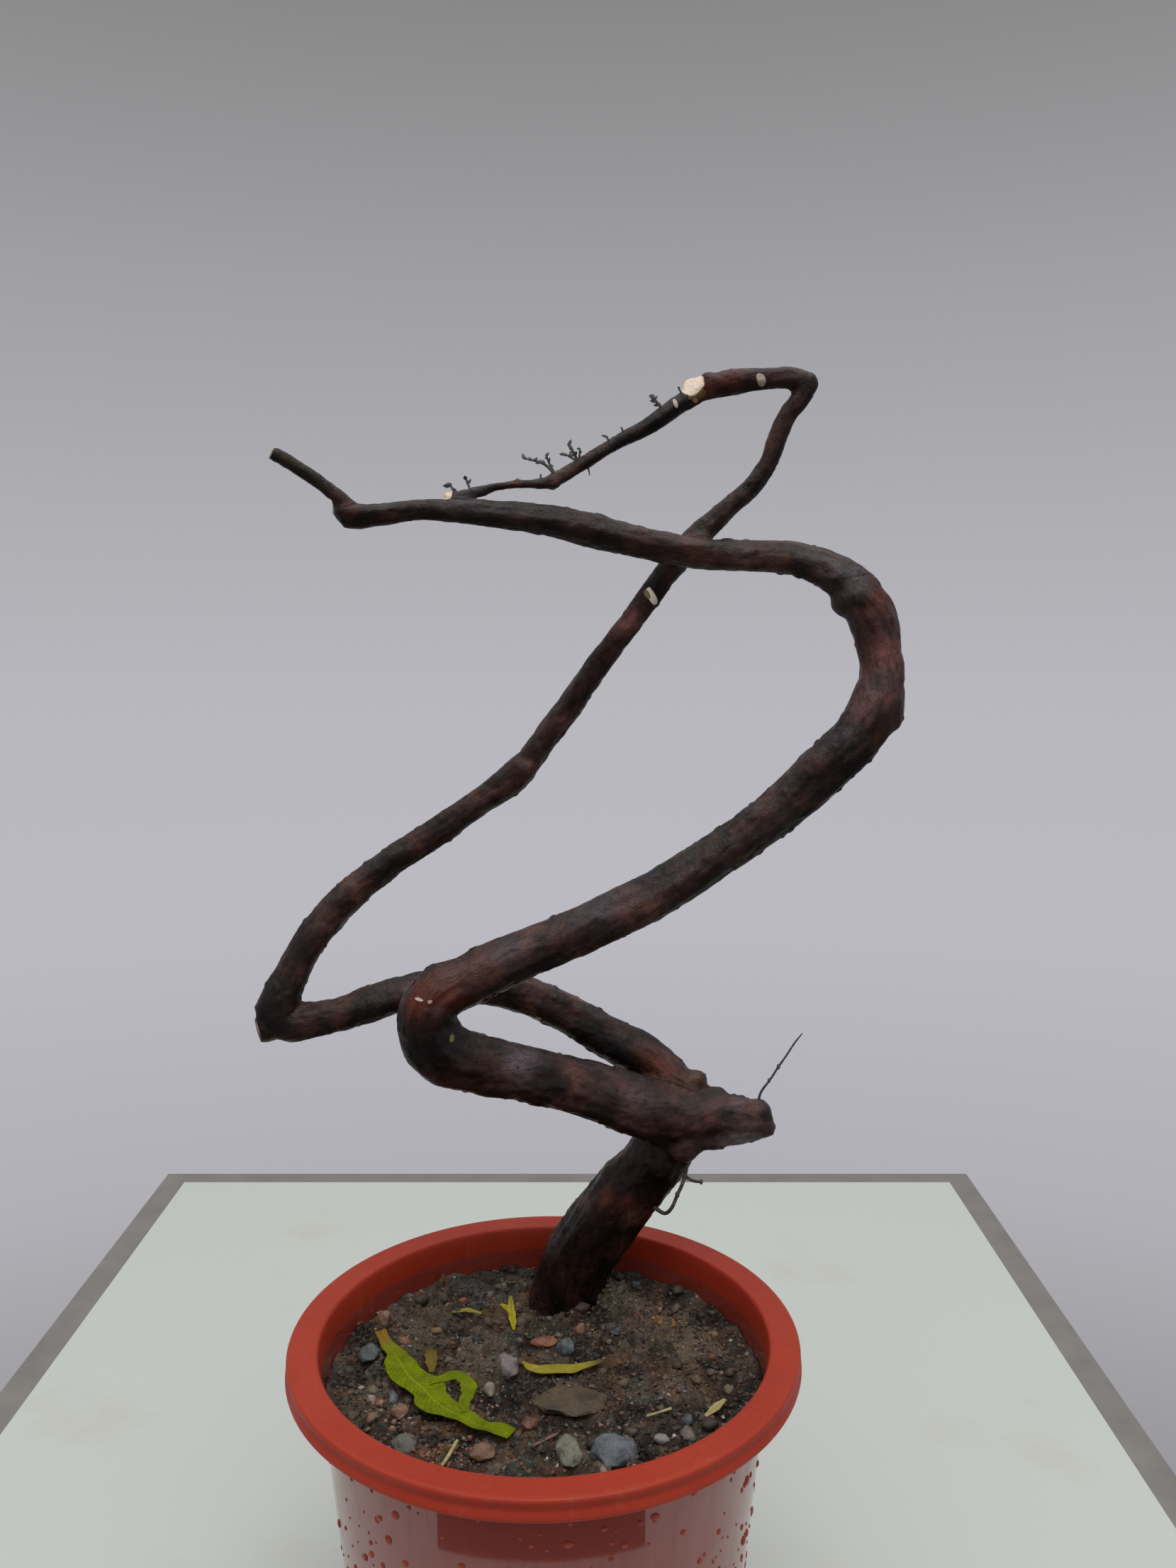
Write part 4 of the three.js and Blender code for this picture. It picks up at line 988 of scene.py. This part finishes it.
def soil_body():
    """A closed body of soil with a crumbly top."""
    shape = bmesh.new()
    bmesh.ops.create_grid(shape, x_segments=SOIL_GRID, y_segments=SOIL_GRID, size=1.0)
    for vert in shape.verts:
        u, v = vert.co.x, vert.co.y
        x = u * math.sqrt(1 - v * v / 2)
        y = v * math.sqrt(1 - u * u / 2)
        vert.co = Vector((x * SOIL_EDGE, y * SOIL_EDGE, 0))
    places = np.array([vert.co for vert in shape.verts])
    xs, ys = places[:, 0], places[:, 1]
    inner = smooth((SOIL_EDGE - np.hypot(xs, ys)) / 3)
    tops = soil_height(xs, ys) + inner * soil_detail(xs, ys)
    layer = shape.verts.layers.float_color.new("tone")
    tones = earth_tone(xs, ys, clods(xs, ys)[1])
    for vert, top, tone in zip(shape.verts, tops, tones):
        vert.co.z = top
        vert[layer] = tone
    rim = [edge for edge in shape.edges if edge.is_boundary]
    for level, gap in SOIL_LEVELS:
        made = bmesh.ops.extrude_edge_only(shape, edges=rim)["geom"]
        rim = [item for item in made if isinstance(item, bmesh.types.BMEdge)]
        reach = wall_radius(level) - WALL - gap
        for vert in {vert for edge in rim for vert in edge.verts}:
            flat = vert.co.xy.normalized() * reach
            vert.co = Vector((flat.x, flat.y, level))
    bmesh.ops.edgeloop_fill(shape, edges=rim)
    bmesh.ops.scale(shape, vec=(MM, MM, MM), verts=shape.verts)
    bmesh.ops.recalc_face_normals(shape, faces=shape.faces)
    return mesh_of(shape, "soil")


def soil_finish():
    soil = Finish("moist_gritty_soil", Specular_IOR_Level=0.2)
    grit = soil.noise(520.0, 6.0, 0.75)
    base = soil.ramp(soil.noise(45.0, 4.0, 0.6), (0.32, 0x1C1815), (0.5, 0x302924), (0.68, 0x4E4438))
    base = soil.mix(0.8, base, soil.attribute("tone", "Color"))
    crumb = soil.add("SeparateColor", Color=soil.cells(640.0, "Color")).outputs[0]
    tint = soil.ramp(
        crumb, (0.0, 0x151211), (0.45, 0x352C26), (0.72, 0x5C4E40), (0.86, 0x7A5238), (0.94, 0x626263),
        (1.0, 0xA09686),
    )
    return soil.done(
        Base_Color=soil.mottled(0.8, soil.mix(0.25, base, tint), grit, (0.3, 0.35), (0.65, 1.3)),
        Roughness=soil.window(grit, 0.3, 0.7, 0.45, 0.95),
        Normal=soil.bump(grit, 0.0008, 0.8, soil.bump(soil.cells(900.0), 0.0006, 0.7)),
    )


# Grains: share of all, dark and light tone.
GRAIN_TONES = [
    (0.38, 0x1C1714, 0x342C26), (0.28, 0x3A3029, 0x5A4E40), (0.13, 0x5E5042, 0x7C6C5A),
    (0.08, 0x66402C, 0x8E5C42), (0.05, 0x484C4A, 0x6E7272), (0.03, 0x7E7064, 0xA09280),
    (0.02, 0x3A464C, 0x5C6A70), (0.012, 0xA8A49C, 0xDCD8D0), (0.018, 0x74382C, 0x96543F),
]


def grain_colour(chance, earth):
    """A grain's colour, partly that of the earth that it lies on, painted shade included."""
    pick = chance.random()
    for share, dark, light in GRAIN_TONES:
        pick -= share
        if pick <= 0:
            break
    own = between(paint(dark), paint(light), chance.random())
    return between(own, earth, chance.uniform(0.0, 0.6))


def grain(corners, at, colour, seed, shape):
    """A broken bit of stone: the hull of some corners."""
    layer = shape.verts.layers.float_color.get("tone") or shape.verts.layers.float_color.new("tone")
    chance = random.Random(seed)
    made = []
    for _ in range(corners):
        way = Vector([chance.gauss(0, 1) for _ in range(3)]).normalized()
        made.append(shape.verts.new(at @ (way * chance.uniform(0.8, 1.15))))
        made[-1][layer] = colour
    hull = bmesh.ops.convex_hull(shape, input=made)
    inside = [item for item in hull["geom_interior"] if isinstance(item, bmesh.types.BMVert)]
    bmesh.ops.delete(shape, geom=inside, context="VERTS")


def lying(x, y, z, turn, lean, size):
    """The matrix of a bit of stone at a place, leaning and turned about the upright."""
    facing = Matrix.Rotation(turn, 3, "Z") @ Matrix.Rotation(lean, 3, "X")
    return spread((x, y, z), facing.to_quaternion(), size)


def grains(name, count, smallest, largest, corners, seed, sunk):
    """Loose grains scattered over the soil, each of its own colour."""
    chance = random.Random(seed)
    spots = []
    while len(spots) < count:
        x, y = chance.uniform(-SOIL_EDGE, SOIL_EDGE), chance.uniform(-SOIL_EDGE, SOIL_EDGE)
        size = smallest + (largest - smallest) * chance.random() ** 2.2
        if math.hypot(x, y) < SOIL_EDGE - size and math.dist((x, y), TRUNK_FOOT) > FOOT_REACH:
            spots.append((x, y, size))
    xs, ys, _ = np.array(spots).T
    makers = []
    for (x, y, size), z, tone in zip(spots, ground(xs, ys), earth_tone(xs, ys, clods(xs, ys)[1])):
        turn, lean = chance.uniform(0, 6.28), chance.uniform(-0.5, 0.5)
        flat = Vector((chance.uniform(0.7, 1.25), chance.uniform(0.6, 1.0), chance.uniform(0.4, 0.75)))
        at = lying(x, y, z + size * (0.5 - sunk), turn, lean, flat * size)
        makers.append(partial(grain, corners, at, grain_colour(chance, tone), chance.randrange(10**6)))
    return gathered(makers, name, shade_smooth=False)


# Crumbs that lie together: [x, y, reach, count, smallest, largest, dark, light].
CRUMB_GROUPS = [
    [-31, -45, 10, 70, 0.5, 1.7, 0x6E4432, 0xA8745A], [49, 29, 7, 16, 0.7, 1.9, 0x74502C, 0x966C3C],
    [-56, -24, 9, 34, 0.5, 1.9, 0x645042, 0x987A64], [67, 0, 9, 26, 0.5, 1.4, 0x422822, 0x6C4038],
    [-46, 50, 9, 18, 0.5, 1.6, 0x7A5036, 0xA07048], [44, 42, 11, 26, 0.5, 1.6, 0x70483A, 0x946250],
    [12, 18, 14, 30, 0.4, 1.2, 0x6A4A3C, 0xA0826E], [-18, -4, 12, 30, 0.4, 1.4, 0x5C4A40, 0x9A7C68],
    [26, -30, 16, 30, 0.4, 1.4, 0x6A4C3C, 0x96705A], [0, 0, 76, 90, 0.25, 0.55, 0xB8B2A8, 0xE4E0D8],
    [-70, 8, 9, 30, 0.4, 1.2, 0x14110F, 0x2A2420], [34, -41, 8, 30, 0.5, 1.6, 0x100D0C, 0x221C19],
]

# Lone bits: [x, y, size, turn, lean, colour].
LONE_BITS = [
    [51.4, -33.7, [3.2, 4, 1.9], 0.3, 0.1, 0x6E655A], [42.2, -38, [2.9, 3.4, 1.9], 1.1, 0.2, 0x86827C],
    [1, -39.5, [6.8, 1.4, 0.7], 0.68, 0.1, 0x7E665C], [45.6, 44.9, [1.1, 0.9, 3.4], 0.2, 0.2, 0xA08468],
    [14, 43, [3.6, 3, 2], 0.5, 0.2, 0x4A3A30], [-60, -28, [3.4, 2.6, 1.6], 0.9, 0.1, 0x7A6048],
    [-64, -6, [3.2, 2.4, 1.6], 0.2, 0.1, 0x6A604E], [-44, 28, [3, 2.2, 1.6], 0.4, 0.1, 0x7E6046],
    [-30, 27, [3.4, 2.2, 1.5], 0.9, 0.1, 0x5E564A], [66, 26, [2.6, 2.1, 1.4], 0.3, 0.2, 0x7C6650],
]


def crumbs():
    """Crumbs in groups, and lone bits of stone and wood."""
    chance = random.Random(31)
    laid = [[*bit[:-1], paint(bit[-1])] for bit in LONE_BITS]
    for x, y, reach, count, smallest, largest, dark, light in CRUMB_GROUPS:
        for _ in range(count):
            way, gap = chance.uniform(0, 2 * math.pi), reach * math.sqrt(chance.random())
            size = smallest + (largest - smallest) * chance.random() ** 1.6
            sizes = [size, size * chance.uniform(0.6, 0.95), size * chance.uniform(0.45, 0.75)]
            colour = between(paint(dark), paint(light), chance.random())
            place = [x + gap * math.cos(way), y + gap * math.sin(way)]
            laid.append([*place, sizes, chance.uniform(0, 6.28), chance.uniform(-0.4, 0.4), colour])
    laid = [bit for bit in laid if math.hypot(*bit[:2]) < SOIL_EDGE - 2]
    xs, ys = np.array([bit[:2] for bit in laid]).T
    makers = []
    for (x, y, size, turn, lean, colour), z in zip(laid, ground(xs, ys)):
        at = lying(x, y, z + 0.3 * size[2], turn, lean, size)
        makers.append(partial(grain, 18 if size[0] > 2 else 12, at, colour, chance.randrange(10**6)))
    return gathered(makers, "crumbs", shade_smooth=False)


def grain_finish():
    bits = Finish("loose_grains")
    speck = bits.noise(1300.0, 4.0, 0.7)
    return bits.done(
        Base_Color=bits.mottled(0.8, bits.attribute("tone", "Color"), speck, (0.3, 0.5), (0.7, 1.35)),
        Roughness=bits.window(speck, 0.3, 0.7, 0.4, 0.85),
        Normal=bits.bump(speck, 0.0004, 0.6),
    )


CHIPS = 9
CHIP_EDGE = 0.3
CHIP_VOXEL = 0.4


def stone_body(name, seed):
    """A copy of the stone's solid, chipped flat on many sides, with broken edges and a rough face."""
    shape = bmesh.new()
    shape.from_mesh(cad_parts[name].data)
    bmesh.ops.remove_doubles(shape, verts=shape.verts, dist=WELD)
    chance = random.Random(100 + seed)
    for _ in range(CHIPS):
        facing = Vector((chance.gauss(0, 1), chance.gauss(0, 1), chance.gauss(0.4, 0.8))).normalized()
        reaches = [vert.co.dot(facing) for vert in shape.verts]
        middle, half = (max(reaches) + min(reaches)) / 2, (max(reaches) - min(reaches)) / 2
        cut = facing * (middle + half * chance.uniform(0.8, 0.98))
        whole = shape.verts[:] + shape.edges[:] + shape.faces[:]
        bmesh.ops.bisect_plane(shape, geom=whole, plane_co=cut, plane_no=facing, clear_outer=True)
        bmesh.ops.holes_fill(shape, edges=[edge for edge in shape.edges if edge.is_boundary], sides=0)
    bmesh.ops.dissolve_limit(shape, angle_limit=0.03, verts=shape.verts[:], edges=shape.edges[:])
    bevel(shape, CHIP_EDGE * MM, 1)
    mesh = remeshed(shape, name, CHIP_VOXEL)
    mesh.shade_smooth()
    places = read(mesh) / MM
    lift = 0.22 * rough(places, 1.7, 13 * seed) + 0.10 * rough(places, 0.8, seed)
    write(mesh, (places + read(mesh, "normal") * lift[:, None]) * MM)
    return mesh


def stone_finish(name, dark, light):
    stone = Finish(name + "_face")
    cloud = stone.noise(140.0, 5.0, 0.65)
    speck = stone.noise(1100.0, 4.0, 0.7)
    colour = stone.ramp(cloud, (0.34, dark), (0.66, light))
    colour = stone.mottled(0.7, colour, speck, (0.3, 0.55), (0.7, 1.25))
    return stone.done(
        Base_Color=stone.mix(stone.window(cloud, 0.42, 0.3, 0.0, 0.6), colour, 0x332B26),
        Roughness=stone.window(cloud, 0.3, 0.7, 0.42, 0.8),
        Normal=stone.bump(speck, 0.0005, 0.6),
    )


# Leaves. Each blade's route is [x, y, z, half width, cup], laid as in the part's source before it settles.
GREEN_LEAF = [
    [-66.4, 25.6, 159, 2.6, 0.3], [-63, 19.3, 158, 2.7, 0.5], [-59.8, 14.4, 157.3, 3.3, 0.7],
    [-55.8, 7.2, 157, 5.3, 1], [-50.2, -3.2, 157, 6.6, 1.2], [-42.9, -12.2, 157, 6.5, 1.2],
    [-38.7, -18.5, 157, 6.2, 1.2], [-33, -24.2, 157, 5.2, 1], [-27.4, -27.9, 157, 4.4, 0.8],
    [-23, -31.6, 157, 3.9, 0.6], [-18.5, -33.6, 157, 2.8, 0.5], [-14.8, -34.6, 156.8, 3.4, 0.4],
    [-10.6, -36.8, 156.6, 3.2, 0.3],
]
GREEN_LEAF_TEAR = [
    [-42.5, -6.5, 157.6, 1.8, 0], [-37.5, -5.9, 158.4, 2.4, 0], [-33.8, -4.5, 159, 2.7, 0],
    [-30.2, -6.3, 159, 2.7, 0], [-27.6, -11.2, 158.6, 2.6, 0], [-27.9, -16, 158.2, 2.5, 0],
    [-28.4, -20.3, 157.8, 2, 0], [-27.5, -25, 157.6, 1.4, 0],
]
YELLOW_LEAF = [
    [-8.9, 6.9, 157.6, 0.7, 0.2], [-4.7, 3.1, 157, 2.1, 0.5], [2.8, 2.4, 157, 3, 0.7],
    [9.5, 2.8, 157, 2.8, 0.6], [16.2, 4.8, 157.5, 1.8, 0.4], [22.1, 7.2, 158, 0.8, 0.2],
]
YELLOW_SPRIG = [
    [-15.6, 44.4, 164, 0.7, 0], [-15.2, 40.9, 160.5, 1.5, 0.2], [-14.2, 36.4, 157.5, 1.5, 0.2],
    [-13.6, 32.4, 156, 0.5, 0],
]
SPRIG_SIDE = [[-15.1, 39.4, 159.3, 0.8, 0], [-17.8, 41.4, 161, 1.2, 0.1], [-19.6, 42.4, 161.5, 0.5, 0]]
YELLOW_SCRAP = [[-39.5, 42.5, 157, 0.8, 0.1], [-33.5, 42.8, 157.6, 1.4, 0.3], [-27.5, 41.6, 157, 0.8, 0.1]]
PALE_LEAF = [[66, -16, 158, 0.8, 0.1], [62, -20, 157, 1.7, 0.4], [58, -24, 156.6, 0.8, 0.1]]
OLIVE_LEAF = [
    [-45.8, 17.5, 157.6, 1.4, 0.1], [-44.4, 12.5, 157.6, 2.4, 0.6], [-43.6, 7.5, 157.2, 2.2, 0.6],
    [-43, 2.5, 157, 1, 0.1],
]
STRAW_ROUTE = [[-29, -40.5, 157, 0.8], [-30.8, -47, 156.6, 1], [-32.8, -54, 157, 0.8]]
TWIGLET_ROUTE = [[46, -21, 157, 0.8], [42, -23, 157, 0.6], [37, -25.5, 157, 0.7]]
LEAF_ROUTES = [
    GREEN_LEAF, GREEN_LEAF_TEAR, YELLOW_LEAF, YELLOW_SPRIG, SPRIG_SIDE, YELLOW_SCRAP, PALE_LEAF, OLIVE_LEAF,
    STRAW_ROUTE, TWIGLET_ROUTE,
]

SOLID_BLADE = 0.8
LEAF_BLADE = 0.35
BLADE_STEPS = 60
STALK_SHARE = 0.72


def blade(route, ragged, seed):
    """A thin cupped sheet with an uneven edge. Its blade attribute is along, across and seed."""
    shape = bmesh.new()
    bmesh.ops.create_grid(shape, x_segments=BLADE_STEPS, y_segments=10, size=0.5)
    layer = shape.verts.layers.float_vector.new("blade")
    _, stations = follow(route, 0.25)
    count = len(stations) - 1
    for vert in shape.verts:
        share, across = vert.co.x + 0.5, 2 * vert.co.y
        at = min(count - 1, int(share * count))
        x, y, z, half, cup = between(stations[at], stations[at + 1], share * count - at)
        side = UP.cross(Vector((stations[at + 1] - stations[at])[:3])).normalized()
        edge = float(value_noise(share * 17 + seed, np.sign(across), seed))
        ripple = float(value_noise(share * 9 + 3, 1.5 * across, seed + 2))
        half *= 1 + ragged * edge * abs(across)
        vert[layer] = Vector((share, across, seed))
        place = Vector((x, y, z)) + side * across * half
        place.z += cup * across * across + 0.07 * half * ripple
        vert.co = place * MM
    return shape


def leaf_mesh(name, blades, ragged):
    """The blades of one leaf, lowered to where its solid lies."""
    solid_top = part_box(name)[1].z / MM
    top = max(z + cup + SOLID_BLADE / 2 for route in blades for _, _, z, _, cup in route)
    shape = bmesh.new()
    for number, route in enumerate(blades):
        shape.from_mesh(mesh_of(blade(route, ragged, 3 * number + 1), "blade"))
    bmesh.ops.translate(shape, verts=shape.verts, vec=(0, 0, (solid_top - top) * MM))
    mesh = with_modifier(mesh_of(shape, name), "SOLIDIFY", thickness=LEAF_BLADE * MM, offset=0.0)
    mesh.shade_smooth()
    return mesh


def leaf_finish(name, dark, light, vein, tip, tip_from=0.0, tip_to=0.12):
    leaf = Finish(name, Specular_IOR_Level=0.08)
    along, across, number = leaf.split(leaf.attribute("blade"))
    cloud = leaf.noise(160.0, 4.0, 0.6)
    colour = leaf.ramp(cloud, (0.32, dark), (0.68, light))
    reach = leaf.math("ABSOLUTE", across)
    slant = leaf.math("SUBTRACT", leaf.math("MULTIPLY", along, 34.0), leaf.math("MULTIPLY", reach, 3.2))
    ribs = leaf.math("ABSOLUTE", leaf.math("SUBTRACT", leaf.math("FRACT", slant), 0.5))
    colour = leaf.mix(leaf.window(ribs, 0.07, 0.0, 0.0, 0.2), colour, vein)
    colour = leaf.mix(leaf.window(reach, 0.14, 0.02, 0.0, 0.6), colour, vein)
    ragged = leaf.math("ADD", along, leaf.math("MULTIPLY", leaf.math("SUBTRACT", cloud, 0.5), 0.25))
    aged = leaf.math("MULTIPLY", leaf.window(ragged, tip_to, tip_from), leaf.window(number, 3.0, 2.0))
    blemish = leaf.window(leaf.noise(420.0, 4.0, 0.7), 0.64, 0.72, 0.0, 0.7)
    fine = leaf.bump(leaf.window(ribs, 0.12, 0.0), 0.0004, 0.6)
    return leaf.done(
        Base_Color=leaf.mix(blemish, leaf.mix(aged, colour, tip), 0x7A6020),
        Roughness=leaf.window(cloud, 0.3, 0.7, 0.32, 0.5),
        Normal=leaf.bump(leaf.window(reach, 0.2, 0.0), 0.0006, 0.6, fine),
    )


def stalk_mesh(name, route):
    """A straw or bit of twig where its solid lies."""
    low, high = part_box(name)
    mesh = limb_tube([[x, y, z, STALK_SHARE * r] for x, y, z, r in route], 0.8, 2)
    places = read(mesh)
    middle = (places[:, 2].min() + places[:, 2].max()) / 2
    places[:, 2] += (low.z + high.z) / 2 - middle
    write(mesh, places)
    mesh.shade_smooth()
    return mesh


# Build the tree. Tones are at positions of a noise.
sprout_tones = ((0.35, 0x30322F), (0.55, 0x4C504B), (0.7, 0x68605A))
sprout_paint = plain_finish("young_leaf", (260.0, 3.0), sprout_tones, (1500.0, 0.0003, 0.4), Roughness=0.5)
twig_tones = ((0.35, 0x2C2624), (0.6, 0x514844), (0.75, 0x7C736C))
twig_paint = plain_finish("dry_twig", (420.0, 3.0), twig_tones, (1800.0, 0.0003, 0.5), Roughness=0.6)
piece("bark", bark_skin(), bark_finish(), "bark", ["tree"])
piece("sprouts", sprouts(), sprout_paint, "bark")
piece("fine_twigs", fine_twigs(), twig_paint, "bark")

# Build the pot.
water = {"Roughness": 0.12, "IOR": 1.33, "Specular_IOR_Level": 0.4}
water_paint = plain_finish("water_on_red", (200.0,), ((0.3, 0x8E3A2C), (0.7, 0xAA4E3C)), **water)
piece("pot_body", pot_body(), pot_finish(), "pot", ["pot"])
piece("water_beads", water_beads(), water_paint, "pot")

# Build the soil with its grains and stones.
piece("soil_body", soil_body(), soil_finish(), "soil", ["soil"])
grain_paint = grain_finish()
grit = grains("grit", count=6500, smallest=0.4, largest=1.4, corners=11, seed=21, sunk=0.35)
gravel = grains("gravel", count=360, smallest=1.3, largest=3.6, corners=20, seed=22, sunk=0.5)
piece("grit", grit, grain_paint, "soil")
piece("gravel", gravel, grain_paint, "soil")
piece("crumbs", crumbs(), grain_paint, "soil")
for number, (stone_name, (dark, light, slot_name)) in enumerate(STONE_TONES.items()):
    body = stone_body(stone_name, number)
    piece("loose_" + stone_name, body, stone_finish(stone_name, dark, light), slot_name, [stone_name])

# Build the leaves and straws. A leaf has its blades, its slot, how ragged its edge is, and the tones of
# blade, veins and tip, some with where along the blade the tip's tone starts and ends.
LEAVES = [
    (
        "green_leaf", [GREEN_LEAF, GREEN_LEAF_TEAR], "green_leaf", 0.24,
        (0x586400, 0x768600, 0x86941A, 0x86642A, -0.02, 0.24),
    ),
    (
        "yellow_leaf", [YELLOW_LEAF], "yellow_leaf", 0.12,
        (0x877C26, 0xA29636, 0xAEA450, 0x5E5432, 0.98, 0.74),
    ),
    (
        "yellow_sprig", [YELLOW_SPRIG, SPRIG_SIDE], "yellow_leaf", 0.12,
        (0xA09420, 0xB8AA34, 0xBCB24C, 0xA09430),
    ),
    ("yellow_scrap", [YELLOW_SCRAP], "yellow_leaf", 0.12, (0x8C7E2C, 0xA49644, 0xACA058, 0x807438)),
    ("pale_leaf", [PALE_LEAF], "straw", 0.12, (0x9E9258, 0xB8AE78, 0xBEB688, 0x9E9258)),
    ("olive_leaf", [OLIVE_LEAF], "olive_leaf", 0.12, (0x5E5020, 0x76642C, 0x867A40, 0x524420)),
]
for leaf_name, blades, slot_name, ragged, tones in LEAVES:
    mesh = leaf_mesh(leaf_name, blades, ragged)
    piece(leaf_name + "_blade", mesh, leaf_finish(leaf_name, *tones), slot_name, [leaf_name])
straw_tones = ((0.3, 0x8C8050), (0.7, 0xB8AE7A))
straw_paint = plain_finish("dry_straw", (300.0,), straw_tones, (1600.0, 0.0002, 0.5), Roughness=0.6)
for stalk_name, route in (("straw", STRAW_ROUTE), ("twiglet", TWIGLET_ROUTE)):
    piece(stalk_name + "_stalk", stalk_mesh(stalk_name, route), straw_paint, "straw", [stalk_name])

# A plain pale slab in a grey frame to stand on, with open soft light around it.
SLAB_HALF = 0.293
SLAB_FRONT = -0.26
SLAB_BACK = 0.485
SLAB_THICK = 0.02
SLAB_EDGE = 0.0006
FRAME_WIDTH = 0.018
FRAME_TOP = -0.0012
FRAME_FOOT = -0.024


def staged(name, shape, material):
    obj = placed(name, mesh_of(shape, name))
    obj.data.materials.append(material)
    return obj


def block(name, low, high, material):
    shape = bmesh.new()
    low, high = Vector(low), Vector(high)
    bmesh.ops.create_cube(shape, size=1.0, matrix=Matrix.LocRotScale((low + high) / 2, None, high - low))
    bevel(shape, SLAB_EDGE, 3)
    staged(name, shape, material)


floor_paint = Finish("pale_floor", Roughness=0.4, Specular_IOR_Level=0.0)
stain = floor_paint.window(floor_paint.noise(9.0, 5.0, 0.6), 0.55, 0.75, 0.0, 0.35)
floor_paint.done(Base_Color=floor_paint.mix(stain, 0xC6CAC4, 0xBCB79E))
slab_low = (-SLAB_HALF, SLAB_FRONT, -SLAB_THICK)
block("slab", slab_low, (SLAB_HALF, SLAB_BACK, 0), floor_paint.material)
frame_paint = plain_finish("grey_frame", (40.0,), ((0.3, 0x76726E), (0.7, 0x84807A)), Roughness=0.5)
frame_low = (-SLAB_HALF - FRAME_WIDTH, SLAB_FRONT - FRAME_WIDTH, FRAME_FOOT)
block("slab_frame", frame_low, (SLAB_HALF + FRAME_WIDTH, SLAB_BACK + FRAME_WIDTH, FRAME_TOP), frame_paint)

# A dark card lies in front of the pot, where only mirror rays see it, for the deep tone under the pot's rim.
CARD_NEAR = 0.19
CARD_FAR = 0.30
CARD_LIFT = 0.0008
CARD_TURN = math.radians(45)
CARD_STEPS = 24
start = Matrix.Rotation(-math.pi / 2 - CARD_TURN, 3, "Z")
ends = [start @ Vector((reach, 0, CARD_LIFT)) for reach in (CARD_NEAR, CARD_FAR)]
card_paint = Finish("dark_card", Base_Color=0x141414, Roughness=0.9)
card = staged("dark_card", spun(ends, CARD_STEPS, 2 * CARD_TURN), card_paint.material)
card.visible_camera = False
card.visible_diffuse = False
card.visible_shadow = False

# Light: a grey room, dimmer higher up and bright overhead, with one soft lamp. Each tone of the room goes
# with how far up one looks, from -1 straight down to 1 straight up, and so does the span over which the
# light overhead sets in.
ROOM_TONES = [
    (-1.0, 0x585858), (-0.6, 0x8A8A8C), (-0.40, 0xB0AFB5), (-0.22, 0xBBBAC1), (-0.05, 0xB8B7BD),
    (0.10, 0xADACB1), (0.25, 0x9F9EA1), (0.42, 0x878788),
]
OVERHEAD_SPAN = (0.48, 0.75)
OVERHEAD_LIGHT = 4.6
LAMP_PLACE = Vector((0.1, -0.5, 1.5))
LAMP_AIM = Vector((0, 0, 0.2))
LAMP_SIZE = 0.8
LAMP_POWER = 6.0

world = bpy.data.worlds.new("soft_grey")
world.use_nodes = True
scene.world = world
room = Nodes(world.node_tree, "Generated")
height = room.split(room.place)[2]
level = room.add("MapRange", Value=height, From_Min=-1.0).outputs["Result"]
room_tone = room.ramp(level, *[((sight + 1) / 2, tone) for sight, tone in ROOM_TONES])
strength = room.window(height, *OVERHEAD_SPAN, 1.0, OVERHEAD_LIGHT)
room.fed(room.nodes["Background"], ("Color", "Strength"), room_tone, strength)

lamp_data = bpy.data.lights.new("overhead", "AREA")
lamp_data.shape = "DISK"
lamp_data.size = LAMP_SIZE
lamp_data.energy = LAMP_POWER
lamp = placed("overhead", lamp_data)
lamp.location = LAMP_PLACE
lamp.rotation_euler = (LAMP_AIM - LAMP_PLACE).to_track_quat("-Z", "Y").to_euler()

scene.view_settings.view_transform = "Standard"
